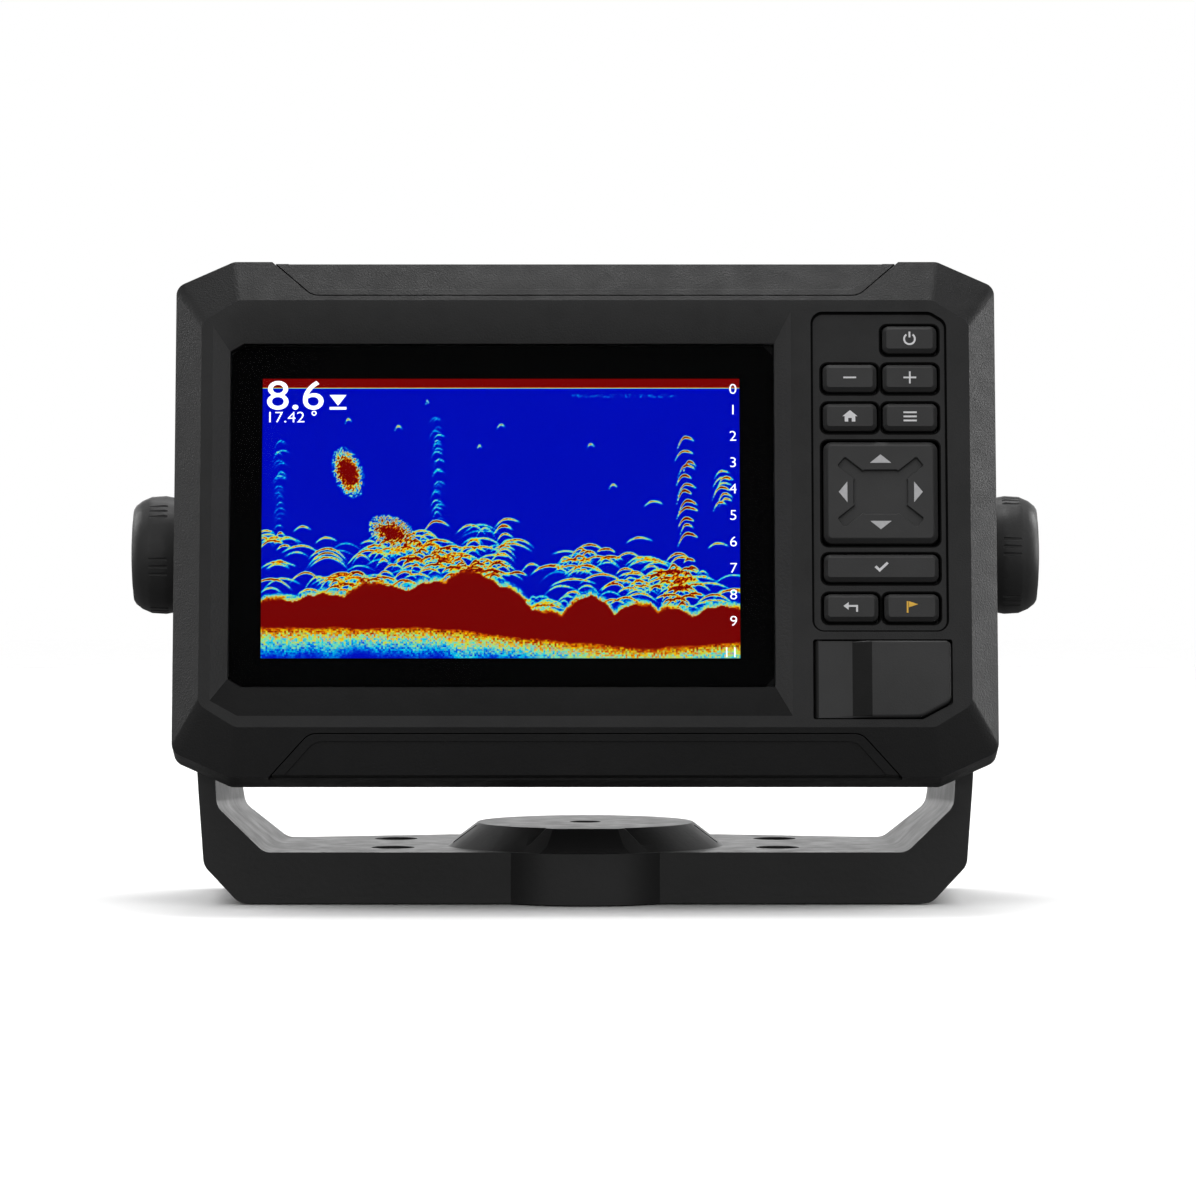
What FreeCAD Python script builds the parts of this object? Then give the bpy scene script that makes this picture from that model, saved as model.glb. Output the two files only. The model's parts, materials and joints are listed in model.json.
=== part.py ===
import FreeCAD, Part
import Sketcher
import math
import operator
import os

# A tilt-mounted fish finder. Millimetres, +Z up, the display faces -Y.
# The origin is on the mounting plane, on the swivel axis of the foot.
#
# The display unit and its cradle are drawn in their own upright frame: X to the
# right, Z up the face, and -Y out of the face, with the tilt axis along X through
# the origin. One placement then lifts them onto the bail and leans them back.
# A distance "out" is measured from the tilt axis towards the viewer, along -Y.

SIZES = {
    # where the unit hangs on its bail
    "axis_height": 78.8, "lean_angle": 14.38, "face_drop": 1.4,
    # bezel: flat ring, sloping facets round it, side wall
    "ring_out": 50.0, "slope_fall": 5.6, "bezel_back": 33.0, "wall": 2.4,
    "bezel_half_width": 93.0, "bezel_half_height": 59.8, "corner_run": 13.0, "corner_rise": 5.9,
    "ring_half_width": 86.9, "ring_half_height": 49.4, "ring_run": 8.3, "ring_rise": 5.2,
    "corner_round": 3.0, "shallow_cavity": 6.4, "deep_cavity": 11.0, "key_cavity": 13.6,
    "cavity_half_width": 84.5, "cavity_half_height": 46.5,
    # screen recess, lens and panel
    "recess_left": 84.3, "recess_right": 46.55, "recess_half_height": 46.8,
    "recess_run": 6.2, "recess_rise": 3.5, "recess_depth": 2.2,
    "glass_left": 80.45, "glass_right": 42.8, "glass_half_height": 39.8,
    "glass_run": 3.1, "glass_rise": 1.9, "glass_thickness": 1.8, "glass_gap": 0.15,
    "gasket_thickness": 0.5, "screen_centre": 19.1, "screen_drop": 0.4,
    "screen_width": 108.0, "screen_height": 64.8, "panel_margin": 2.3, "panel_thickness": 1.8,
    "window_margin": 3.0, "backlight_margin": 5.0, "backlight_thickness": 5.4, "fit_gap": 0.1,
    # trim caps on the long facets
    "trim_inner_end": 62.06, "trim_inner": 50.6, "trim_seat": 8.6,
    "trim_step": 0.5, "trim_gap": 0.2, "trim_bend": 4.0, "trim_rim": 2.2, "trim_skew": 0.3,
    # keypad
    "keypad_left": 51.04, "keypad_right": 81.8, "keypad_top": 46.7, "keypad_bottom": 27.5,
    "keypad_run": 3.7, "keypad_rise": 2.3, "keypad_round": 2.7, "keypad_depth": 1.0,
    "key_left": 53.3, "key_right": 80.0, "key_split": 66.6, "key_rib": 0.5, "key_gap": 0.45,
    "key_round": 1.5, "key_stand": 0.4, "key_bevel": 0.9, "key_flange": 1.0, "flange_gap": 0.3,
    "power_bottom": 36.65, "row_a": 27.67, "row_b": 18.6, "pad_bottom": 7.55, "pad_height": 24.45,
    "select_bottom": 16.37, "row_c": 25.5, "key_height": 7.15,
    "pad_round": 2.0, "pad_bevel": 1.1, "pad_hollow": 0.8, "pad_thickness": 3.6,
    "hollow_across": 6.1, "hollow_up": 5.1, "hollow_cut": 2.4, "dome_spread": 8.2,
    "rocker_radius": 3.6, "rocker_thickness": 1.5,
    "pad_arm_width": 2.6, "pad_arm_across": 8.9, "pad_arm_up": 7.1,
    "membrane_drop": 6.9, "membrane_thickness": 0.7, "dome_height": 0.6, "dome_radius": 2.0,
    "keypad_board_thickness": 1.2,
    # card door
    "door_left": 51.15, "door_right": 82.5, "door_top": 29.27, "door_bottom": 47.6,
    "door_run": 6.7, "door_rise": 3.6, "door_recess": 3.0, "door_gap": 0.35, "door_round": 0.6,
    "hinge_in": 1.25, "hinge_drop": 1.2, "hinge_radius": 0.95, "hinge_pin_radius": 0.6,
    "hinge_bore_radius": 0.65, "pin_reach": 1.0, "band_start": 60.0, "band_end": 64.4,
    "grip_stand": 1.0, "slot_half_width": 10.5, "slot_half_height": 5.5, "slot_centre": 66.0,
    "seal_thickness": 0.6, "seal_wall": 1.4, "reader_depth": 7.0,
    # rear housing and what it holds
    "flange_half_width": 92.2, "flange_half_height": 59.0, "flange_thickness": 2.5,
    "shell_half_width": 80.5, "shell_half_height": 49.5, "shell_run": 14.0, "shell_rise": 10.0,
    "back_half_width": 68.0, "back_half_height": 44.0, "back_out": 4.0, "shell_wall": 2.2,
    "seal_ring_out": 90.4, "seal_ring_tall": 57.2, "seal_ring_width": 1.2, "seal_ring_thickness": 1.2,
    "boss_radius": 2.8, "pilot_radius": 1.5, "screw_radius": 1.45, "screw_head_radius": 2.6,
    "screw_head_height": 2.0, "screw_length": 7.5, "screw_socket_radius": 1.25,
    "screw_corner_across": 81.5, "screw_corner_up": 49.3, "screw_side_across": 83.6,
    "screw_mid_up": 52.9, "board_out": 30.1, "board_thickness": 1.6, "board_width": 132.0,
    "board_height": 84.0,
    "chip_height": 1.4, "shield_height": 4.0, "antenna_size": 18.0, "antenna_height": 4.0,
    "beeper_radius": 6.0, "beeper_height": 5.0,
    "plug_half_width": 20.0, "plug_half_height": 8.0, "plug_depth": 8.0, "plug_wall": 2.0,
    "contact_gap": 0.8, "contact_reach": 5.6,
    # cradle
    "cradle_gap": 0.4, "cradle_thickness": 11.0, "cradle_half_width": 72.0, "cradle_half_height": 40.0,
    "cradle_corner": 12.0, "cradle_wall": 2.6, "ear_inner": 78.5, "ear_outer": 86.4, "ear_front": 12.0,
    "ear_half_height": 15.0, "insert_radius": 5.0, "insert_bore": 3.0, "insert_inner": 79.6,
    "socket_radius": 9.0, "socket_bore": 6.6, "socket_length": 12.0, "socket_spacing": 46.0,
    "socket_drop": 21.0,
    "socket_depth": 9.0, "lever_half_width": 14.0, "lever_pivot_up": 34.5, "lever_pivot_in": 3.4,
    "lever_thickness": 3.4, "lever_top": 56.0, "lever_bottom": 30.5, "lever_hook_reach": 9.0,
    "lever_hook_up": 44.9, "lever_hook_thickness": 2.4, "lever_pin_radius": 1.25,
    "lever_bore_radius": 1.32, "lever_slot_gap": 0.5, "spring_half_length": 3.5,
    "spring_radius": 2.5, "spring_wire": 0.9, "spring_leg": 7.0, "spring_room": 4.4,
    # knobs
    "knob_inner": 92.6, "knob_outer": 104.9, "knob_radius": 13.65, "knob_neck_radius": 12.4,
    "knob_rim_radius": 11.4, "knob_cap_radius": 9.6, "knob_cap_depth": 1.6, "knob_dome": 0.6,
    "knob_flare": 1.5, "knob_belly": 4.3, "knob_fall": 7.6, "knob_shoulder": 9.8, "knob_edge": 0.5,
    "knob_slope": 0.2, "knob_shoulder_step": 1.1, "knob_rim_edge": 0.8, "cap_gap": 0.1, "cap_sink": 0.2,
    "cap_low": 0.25, "cap_inset": 1.2, "cap_high": 0.5, "cap_crown": 4.8, "head_sink": 2.0,
    "bolt_gap": 0.05,
    "groove_radius": 0.45, "groove_in": 3.6, "groove_length": 5.4, "groove_groups": 6.0,
    "groove_spread": 7.5, "groove_turn": 20.0, "groove_proud": 0.1,
    "bolt_radius": 2.95, "bolt_tip": 80.6, "bolt_head_radius": 5.5, "bolt_head_height": 4.0,
    "washer_inner": 91.3, "washer_thickness": 1.0, "washer_radius": 10.0,
    # bail and swivel
    "bail_front": 28.1, "bail_rear": 27.5, "bail_bow": 37.0, "bow_bite": 1.0,
    "bow_inner": 32.0, "bow_outer": 66.0,
    "base_height": 11.7, "foot_half": 79.0, "foot_rise": 8.7, "foot_side": 87.15, "arm_outer": 91.0,
    "arm_inner": 87.0, "arm_straight": 64.0, "arm_top_radius": 14.0, "arm_top": 92.8, "arm_top_cut": 6.3,
    "across_all": 200.0,
    "inner_side": 84.1, "inner_side_up": 22.2, "inner_floor": 73.4, "taper": 4.3, "floor_taper": 3.6,
    "side_taper_drop": 2.6, "arm_shoulder": 26.0, "foot_round": 4.0, "inner_round": 4.0,
    "arm_bore": 3.05, "front_boss_radius": 25.0, "front_boss_centre": 9.8,
    "cone_radius": 32.0, "dome_top_radius": 25.0, "dome_top": 17.0,
    "tongue_foot": 17.9, "tongue_foot_reach": 32.4, "tongue_foot_cut": 7.5,
    "tongue_waist": 12.7, "tongue_waist_reach": 31.4, "tongue_waist_cut": 4.0, "tongue_waist_up": 13.3,
    "tongue_head": 8.9, "tongue_head_reach": 26.4, "tongue_head_cut": 1.5,
    "hole_across": 44.3, "hole_front": 10.0, "hole_rear": 21.3, "hole_radius": 2.6,
    "counterbore_radius": 5.0, "counterbore_depth": 3.0, "rib_bay": 18.0, "bay_depth": 8.0,
    "bay_start": 53.0, "bay_length": 20.0, "bay_gap": 3.0,
    "swivel_radius": 28.6, "swivel_height": 7.6, "swivel_gap": 0.4, "swivel_screw_radius": 2.0,
    "swivel_bore": 2.08, "swivel_head_radius": 3.2, "swivel_head_height": 2.6, "swivel_well": 3.6,
    "swivel_seat": 11.0, "swivel_play": 0.3, "shank_low": 1.9, "swivel_bore_depth": 5.7,
    "drive_half": 1.4, "drive_cut": 0.6, "drive_depth": 1.6,
    "swivel_washer": 0.8, "base_screw_circle": 20.0, "base_screw_radius": 2.2,
    "base_sink_radius": 4.2, "slot_inner": 25.2, "slot_outer": 30.5, "slot_width": 1.2, "slot_along": 5.0,
    "slot_drop": 6.0,
}


class Size:
    """A length together with the sheet formula that it comes from."""

    def __init__(self, number, formula):
        self.number = number
        self.formula = formula

    def joined(self, sign, act, other):
        other = as_size(other)
        formula = "(%s %s %s)" % (self.formula, sign, other.formula)
        return Size(act(self.number, other.number), formula)

    def __add__(self, other):
        return self.joined("+", operator.add, other)

    def __sub__(self, other):
        return self.joined("-", operator.sub, other)

    def __mul__(self, other):
        return self.joined("*", operator.mul, other)

    def __truediv__(self, other):
        return self.joined("/", operator.truediv, other)

    def __neg__(self):
        return Size(-self.number, "(-1 * %s)" % self.formula)


def as_size(thing):
    if isinstance(thing, Size):
        return thing
    return Size(float(thing), repr(float(thing)))


class Dimensions:
    """The spreadsheet, read by name: dims.wall is the Size kept under that alias."""

    def __init__(self, document, numbers):
        sheet = document.addObject("Spreadsheet::Sheet", "Dims")
        for row, (alias, number) in enumerate(numbers.items(), start=1):
            sheet.set("A%d" % row, alias)
            sheet.set("B%d" % row, str(number))
            sheet.setAlias("B%d" % row, alias)
            setattr(self, alias, Size(number, "Dims." + alias))
        document.recompute()


doc = FreeCAD.newDocument("fish_finder")
dims = Dimensions(doc, SIZES)

UPRIGHT = FreeCAD.Placement()
LEANING = FreeCAD.Placement(
    FreeCAD.Vector(0, 0, dims.axis_height.number),
    FreeCAD.Rotation(FreeCAD.Vector(1, 0, 0), -dims.lean_angle.number),
)
# Sketch planes: FACE looks at the unit from the front, PLAN from above, SIDE from +X.
FACE = "XZ_Plane"
PLAN = "XY_Plane"
SIDE = "YZ_Plane"


# ---------------------------------------------------------------- drawing helpers

def new_body(name, placement=UPRIGHT):
    body = doc.addObject("PartDesign::Body", name)
    body.Label = name
    body.Placement = placement
    return body


def new_sketch(body, plane, offset, turn=0.0, shift=0.0):
    """An empty sketch on one of the body's own planes, moved out along its normal."""
    sketch = body.newObject("Sketcher::SketchObject", body.Name + "_sketch")
    origin_plane = [item for item in body.Origin.OriginFeatures if item.Role == plane][0]
    sketch.AttachmentSupport = [(origin_plane, "")]
    sketch.MapMode = "FlatFace"
    offset = as_size(offset)
    shift = as_size(shift)
    sketch.AttachmentOffset = FreeCAD.Placement(
        FreeCAD.Vector(0, shift.number, offset.number),
        FreeCAD.Rotation(FreeCAD.Vector(1, 0, 0), turn),
    )
    sketch.setExpression("AttachmentOffset.Base.z", offset.formula)
    sketch.setExpression("AttachmentOffset.Base.y", shift.formula)
    return sketch


def hold(sketch, kind, geometry, position, size):
    """Bind one coordinate of a point to its formula."""
    if abs(size.number) < 1e-9:
        axis = -2 if kind == "DistanceX" else -1
        sketch.addConstraint(Sketcher.Constraint("PointOnObject", geometry, position, axis))
        return
    place = sketch.addConstraint(Sketcher.Constraint(kind, -1, 1, geometry, position, size.number))
    sketch.setExpression("Constraints[%d]" % place, size.formula)


def draw_polygon(sketch, corners, radius=None, rounded=None):
    """A closed outline. Each sharp corner is bound to the sheet; the ones named in
    rounded (all of them by default) are rounded by tangent arcs of one radius."""
    corners = [(as_size(across), as_size(up)) for across, up in corners]
    count = len(corners)
    if radius is None:
        rounded = []
    elif rounded is None:
        rounded = range(count)
    spots = [FreeCAD.Vector(across.number, up.number, 0) for across, up in corners]
    starts, ends, centres = [], [], {}
    for index, spot in enumerate(spots):
        back = (spots[index - 1] - spot).normalize()
        ahead = (spots[(index + 1) % count] - spot).normalize()
        if index in rounded:
            half = back.getAngle(ahead) / 2
            reach = radius.number / math.tan(half)
            ends.append(spot + back * reach)
            starts.append(spot + ahead * reach)
            middle = (back + ahead).normalize()
            centres[index] = spot + middle * (radius.number / math.sin(half))
        else:
            ends.append(spot)
            starts.append(spot)
    lines = []
    for index in range(count):
        segment = Part.LineSegment(starts[index], ends[(index + 1) % count])
        lines.append(sketch.addGeometry(segment))
    for index, (across, up) in enumerate(corners):
        line_in = lines[index - 1]
        line_out = lines[index]
        if index in rounded:
            join_with_arc(sketch, line_in, line_out, centres[index], radius)
            corner = sketch.addGeometry(Part.Point(spots[index]), True)
            sketch.addConstraint(Sketcher.Constraint("PointOnObject", corner, 1, line_in))
            sketch.addConstraint(Sketcher.Constraint("PointOnObject", corner, 1, line_out))
            hold(sketch, "DistanceX", corner, 1, across)
            hold(sketch, "DistanceY", corner, 1, up)
        else:
            sketch.addConstraint(Sketcher.Constraint("Coincident", line_in, 2, line_out, 1))
            hold(sketch, "DistanceX", line_out, 1, across)
            hold(sketch, "DistanceY", line_out, 1, up)
    return sketch


def join_with_arc(sketch, line_in, line_out, centre, radius):
    """A tangent arc from the end of one line to the start of the next."""
    first = sketch.Geometry[line_in].EndPoint
    last = sketch.Geometry[line_out].StartPoint
    circle = Part.Circle(centre, FreeCAD.Vector(0, 0, 1), radius.number)
    turn = (first - centre).cross(last - centre).z
    if turn > 0:
        arc = Part.ArcOfCircle(circle, angle_of(first - centre), angle_of(last - centre))
        arc_first, arc_last = 1, 2
    else:
        arc = Part.ArcOfCircle(circle, angle_of(last - centre), angle_of(first - centre))
        arc_first, arc_last = 2, 1
    corner = sketch.addGeometry(arc)
    sketch.addConstraint(Sketcher.Constraint("Tangent", line_in, 2, corner, arc_first))
    sketch.addConstraint(Sketcher.Constraint("Tangent", line_out, 1, corner, arc_last))
    place = sketch.addConstraint(Sketcher.Constraint("Radius", corner, radius.number))
    sketch.setExpression("Constraints[%d]" % place, radius.formula)


def angle_of(vector):
    return math.atan2(vector.y, vector.x)


def draw_circle(sketch, across, up, radius):
    across, up, radius = as_size(across), as_size(up), as_size(radius)
    centre = FreeCAD.Vector(across.number, up.number, 0)
    circle = sketch.addGeometry(Part.Circle(centre, FreeCAD.Vector(0, 0, 1), radius.number))
    place = sketch.addConstraint(Sketcher.Constraint("Radius", circle, radius.number))
    sketch.setExpression("Constraints[%d]" % place, radius.formula)
    hold(sketch, "DistanceX", circle, 3, across)
    hold(sketch, "DistanceY", circle, 3, up)
    return sketch


def extrude(kind, body, sketch, length, backwards=False, midplane=False):
    feature = body.newObject("PartDesign::" + kind, body.Name + "_" + kind.lower())
    feature.Profile = sketch
    length = as_size(length)
    feature.Length = length.number
    feature.setExpression("Length", length.formula)
    feature.Reversed = backwards
    if midplane:
        feature.SideType = "Symmetric"
    sketch.Visibility = False
    return feature


def pad(body, sketch, length, backwards=False, midplane=False):
    return extrude("Pad", body, sketch, length, backwards, midplane)


def pocket(body, sketch, length, backwards=False, midplane=False):
    """Cut away, and make sure that the cut really takes something off."""
    doc.recompute()
    before = body.Shape.Volume
    feature = extrude("Pocket", body, sketch, length, backwards, midplane)
    doc.recompute()
    if body.Shape.Volume > before - 1e-6:
        raise RuntimeError(feature.Name + " cuts nothing")
    return feature


def loft(body, first, last, cut=False):
    kind = "SubtractiveLoft" if cut else "AdditiveLoft"
    feature = body.newObject("PartDesign::" + kind, body.Name + "_loft")
    feature.Profile = first
    feature.Sections = [last]
    feature.Ruled = True
    return feature


def dress(kind, body, size, chosen):
    """A Fillet or Chamfer on the tip's edges that the test picks out."""
    doc.recompute()
    base = body.Tip
    edges = base.Shape.Edges
    names = ["Edge%d" % (place + 1) for place, edge in enumerate(edges) if chosen(edge)]
    feature = body.newObject("PartDesign::" + kind, body.Name + "_" + kind.lower())
    feature.Base = (base, names)
    bound_to = "Radius" if kind == "Fillet" else "Size"
    setattr(feature, bound_to, size.number)
    feature.setExpression(bound_to, size.formula)
    doc.recompute()
    return feature


def lies_at(axis, level, slack=1e-4):
    """A test for edges that lie wholly at one level along an axis."""
    def test(edge):
        box = edge.BoundBox
        low = getattr(box, axis + "Min")
        high = getattr(box, axis + "Max")
        return abs(low - level) < slack and abs(high - level) < slack
    return test


def rectangle(left, right, bottom, top):
    return [(left, bottom), (right, bottom), (right, top), (left, top)]


def octagon(half_width, half_height, run, rise, middle=0.0):
    """A rectangle with its four corners cut off, run across and rise up."""
    high = as_size(middle) + half_height
    low = as_size(middle) - half_height
    return [
        (-half_width, low + rise), (-half_width + run, low),
        (half_width - run, low), (half_width, low + rise),
        (half_width, high - rise), (half_width - run, high),
        (-half_width + run, high), (-half_width, high - rise),
    ]


def screen_outline(left, right, half_height, run, rise):
    """The recess round the screen: square on the right, cut corners on the left."""
    low = -dims.face_drop - half_height
    high = -dims.face_drop + half_height
    return [
        (-left + run, low), (right, low), (right, high),
        (-left + run, high), (-left, high - rise), (-left, low + rise),
    ]


def face_prism(name, corners, out_back, out_front, radius=None, placement=LEANING):
    """A plate of the display unit between two distances out from the tilt axis."""
    body = new_body(name, placement)
    sketch = draw_polygon(new_sketch(body, FACE, out_back), corners, radius)
    pad(body, sketch, as_size(out_front) - out_back)
    return body


def face_cut(body, corners, out_from, depth, radius=None, rounded=None, backwards=False):
    sketch = draw_polygon(new_sketch(body, FACE, out_from), corners, radius, rounded)
    return pocket(body, sketch, depth, backwards)


def on_face(up):
    """Height on the unit of something measured from the middle of the bezel."""
    return as_size(up) - dims.face_drop


# ---------------------------------------------------------------- display unit: bezel

FULL_TURN = 360.0
KEY_TOP = dims.ring_out + dims.key_stand
KEY_SEAT = dims.ring_out - dims.keypad_depth - dims.wall
WALL_OUT = dims.ring_out - dims.slope_fall
GLASS_FRONT = dims.ring_out - dims.recess_depth
GLASS_BACK = GLASS_FRONT - dims.glass_thickness
LEDGE = GLASS_BACK - dims.gasket_thickness
HINGE_ACROSS = dims.door_left + dims.hinge_in
HINGE_OUT = dims.ring_out - dims.hinge_drop
SCREEN_MIDDLE = on_face(-dims.screen_drop)


def key_row(bottom, height=dims.key_height):
    low = on_face(bottom)
    return low, low + height


def key_spans():
    """Each key's opening in the bezel: left, right, bottom, top."""
    half_rib = dims.key_rib / 2
    left_key = (dims.key_left, dims.key_split - half_rib)
    right_key = (dims.key_split + half_rib, dims.key_right)
    whole = (dims.key_left, dims.key_right)
    return {
        "power_key": right_key + key_row(dims.power_bottom),
        "minus_key": left_key + key_row(dims.row_a),
        "plus_key": right_key + key_row(dims.row_a),
        "home_key": left_key + key_row(dims.row_b),
        "menu_key": right_key + key_row(dims.row_b),
        "direction_pad": whole + key_row(-dims.pad_bottom, dims.pad_height),
        "select_key": whole + key_row(-dims.select_bottom),
        "back_key": left_key + key_row(-dims.row_c),
        "mark_key": right_key + key_row(-dims.row_c),
    }


def window_outline():
    half_width = dims.screen_width / 2 + dims.window_margin
    half_height = dims.screen_height / 2 + dims.window_margin
    return rectangle(
        -dims.screen_centre - half_width, -dims.screen_centre + half_width,
        SCREEN_MIDDLE - half_height, SCREEN_MIDDLE + half_height,
    )


def screen_plate_outline(margin):
    half_width = dims.screen_width / 2 + margin
    half_height = dims.screen_height / 2 + margin
    return rectangle(
        -dims.screen_centre - half_width, -dims.screen_centre + half_width,
        SCREEN_MIDDLE - half_height, SCREEN_MIDDLE + half_height,
    )


def door_outline(gap):
    """The card door's recess, or the door itself when a gap is taken off."""
    low = on_face(-dims.door_bottom) + gap
    high = on_face(-dims.door_top) - gap
    right = dims.door_right - gap
    return [
        (dims.door_left + gap, low), (right - dims.door_run, low), (right, low + dims.door_rise),
        (right, high), (dims.door_left + gap, high),
    ]


def trim_outline(side, gap, outer):
    """The long facet's insert: level on the inside, slanting out to both ends."""
    inner_up = on_face((dims.trim_inner + gap) * side)
    outer_up = on_face(as_size(outer) * side)
    inner_across = dims.trim_inner_end - gap * 0.4
    outer_across = inner_across + (as_size(outer) - dims.trim_inner - gap)
    corners = [
        (-outer_across, outer_up), (-inner_across, inner_up),
        (inner_across, inner_up), (outer_across, outer_up),
    ]
    return corners if side > 0 else corners[::-1]


def screw_places():
    """Eight places round the flange: four corners, two sides, top and bottom."""
    across, up = dims.screw_corner_across, dims.screw_corner_up
    spots = [(across * side, on_face(up * end)) for side in (-1, 1) for end in (-1, 1)]
    spots += [(dims.screw_side_across * side, on_face(0.0)) for side in (-1, 1)]
    spots += [(as_size(0.0), on_face(dims.screw_mid_up * end)) for end in (-1, 1)]
    return spots


def make_bezel():
    body = new_body("front_bezel", LEANING)
    middle = on_face(0.0)
    outer = octagon(dims.bezel_half_width, dims.bezel_half_height, dims.corner_run, dims.corner_rise,
                    middle)
    ring = octagon(dims.ring_half_width, dims.ring_half_height, dims.ring_run, dims.ring_rise, middle)
    wall = draw_polygon(new_sketch(body, FACE, dims.bezel_back), outer, dims.corner_round)
    pad(body, wall, WALL_OUT - dims.bezel_back)
    slope_foot = draw_polygon(new_sketch(body, FACE, WALL_OUT), outer, dims.corner_round)
    slope_head = draw_polygon(new_sketch(body, FACE, dims.ring_out), ring, dims.corner_round)
    loft(body, slope_foot, slope_head)
    recess = screen_outline(dims.recess_left, dims.recess_right, dims.recess_half_height,
                            dims.recess_run, dims.recess_rise)
    glass = screen_outline(dims.glass_left, dims.glass_right, dims.glass_half_height,
                           dims.glass_run, dims.glass_rise)
    recess_mouth = draw_polygon(new_sketch(body, FACE, dims.ring_out), recess)
    recess_floor = draw_polygon(new_sketch(body, FACE, GLASS_FRONT), glass)
    loft(body, recess_mouth, recess_floor, cut=True)
    face_cut(body, glass, GLASS_FRONT, GLASS_FRONT - LEDGE)
    face_cut(body, window_outline(), GLASS_FRONT, dims.deep_cavity)
    shallow = octagon(dims.bezel_half_width - dims.wall, dims.bezel_half_height - dims.wall,
                      dims.corner_run, dims.corner_rise, middle)
    face_cut(body, shallow, dims.bezel_back, dims.shallow_cavity, backwards=True)
    deep = octagon(dims.cavity_half_width, dims.cavity_half_height, dims.ring_run, dims.ring_rise, middle)
    face_cut(body, deep, dims.bezel_back, dims.deep_cavity, backwards=True)
    behind_keys = rectangle(dims.keypad_left, dims.cavity_half_width - dims.key_gap,
                            on_face(-dims.keypad_bottom), on_face(dims.keypad_top))
    face_cut(body, behind_keys, dims.bezel_back, dims.key_cavity, backwards=True)
    cut_keypad(body)
    cut_door_recess(body)
    for side in (1, -1):
        seat = trim_outline(side, 0.0, dims.bezel_half_height + 1.0)
        inner_bends = (1, 2)
        face_cut(body, seat, dims.ring_out, dims.trim_seat, dims.trim_bend, inner_bends)
    add_screw_bosses(body)
    return body


def cut_keypad(body):
    low, high = on_face(-dims.keypad_bottom), on_face(dims.keypad_top)
    right = dims.keypad_right
    recess = [
        (dims.keypad_left, low), (right, low), (right, high - dims.keypad_rise),
        (right - dims.keypad_run, high), (dims.keypad_left, high),
    ]
    face_cut(body, recess, dims.ring_out, dims.keypad_depth, dims.keypad_round)
    for left, right, bottom, top in key_spans().values():
        opening = rectangle(left, right, bottom, top)
        face_cut(body, opening, dims.ring_out, dims.keypad_depth + dims.wall, dims.key_round)


def cut_door_recess(body):
    face_cut(body, door_outline(0.0), dims.ring_out, dims.door_recess, dims.door_round)
    middle = (on_face(-dims.door_top) + on_face(-dims.door_bottom)) / 2
    slot = rectangle(dims.slot_centre - dims.slot_half_width, dims.slot_centre + dims.slot_half_width,
                     middle - dims.slot_half_height, middle + dims.slot_half_height)
    face_cut(body, slot, dims.ring_out, dims.deep_cavity, dims.door_round)
    pin_low = on_face(-dims.door_bottom) - dims.pin_reach
    pin_length = dims.door_bottom - dims.door_top + dims.pin_reach * 2
    bore = draw_circle(new_sketch(body, PLAN, pin_low), HINGE_ACROSS, -HINGE_OUT, dims.hinge_pin_radius)
    pocket(body, bore, pin_length, backwards=True)


def add_screw_bosses(body):
    for across, up in screw_places():
        sketch = draw_circle(new_sketch(body, FACE, dims.bezel_back), across, up, dims.boss_radius)
        pad(body, sketch, dims.shallow_cavity + dims.fit_gap)
        sketch = draw_circle(new_sketch(body, FACE, dims.bezel_back), across, up, dims.pilot_radius)
        pocket(body, sketch, dims.shallow_cavity, backwards=True)


def make_trim_cap(name, side):
    """A snap-on insert that follows the long facet, with a shallow step inside its rim."""
    body = new_body(name, LEANING)
    seat_out = dims.ring_out - dims.trim_seat + dims.fit_gap
    outer = dims.bezel_half_height - dims.trim_step
    outline = trim_outline(side, dims.trim_gap, outer)
    sketch = draw_polygon(new_sketch(body, FACE, seat_out), outline, dims.trim_bend, (1, 2))
    pad(body, sketch, dims.trim_seat)
    facet_run = dims.bezel_half_height - dims.ring_half_height
    beyond = dims.ring_out + facet_run
    slope = dims.slope_fall / facet_run
    foot_up = dims.ring_half_height - facet_run
    head_up = dims.ring_half_height + facet_run * 2
    wedge = [
        (-dims.ring_out - slope * facet_run, on_face(foot_up * side)),
        (-dims.ring_out + slope * facet_run * 2, on_face(head_up * side)),
        (-beyond - facet_run, on_face(head_up * side)),
        (-beyond - facet_run, on_face(foot_up * side)),
    ]
    cut = draw_polygon(new_sketch(body, SIDE, 0.0), wedge)
    pocket(body, cut, dims.bezel_half_width * 2, midplane=True)
    step_trim(body, side, facet_run)
    return body


def step_trim(body, side, facet_run):
    """Lower the insert's field by a small step, inside a rim along its seam."""
    fall_angle = math.degrees(math.atan2(dims.slope_fall.number, facet_run.number))
    hinge_up = on_face(dims.ring_half_height * side)
    sketch = new_sketch(body, FACE, dims.ring_out, -side * fall_angle, hinge_up)
    inner = dims.trim_inner - dims.ring_half_height + dims.trim_rim
    reach = inner + facet_run * 1.5
    across = dims.trim_inner_end - dims.trim_rim * 0.6
    far = across + facet_run * 1.3
    corners = [(-far, reach * side), (-across, inner * side), (across, inner * side), (far, reach * side)]
    draw_polygon(sketch, corners if side > 0 else corners[::-1], dims.trim_bend, (1, 2))
    pocket(body, sketch, dims.trim_skew)


# ---------------------------------------------------------------- display unit: screen

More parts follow.
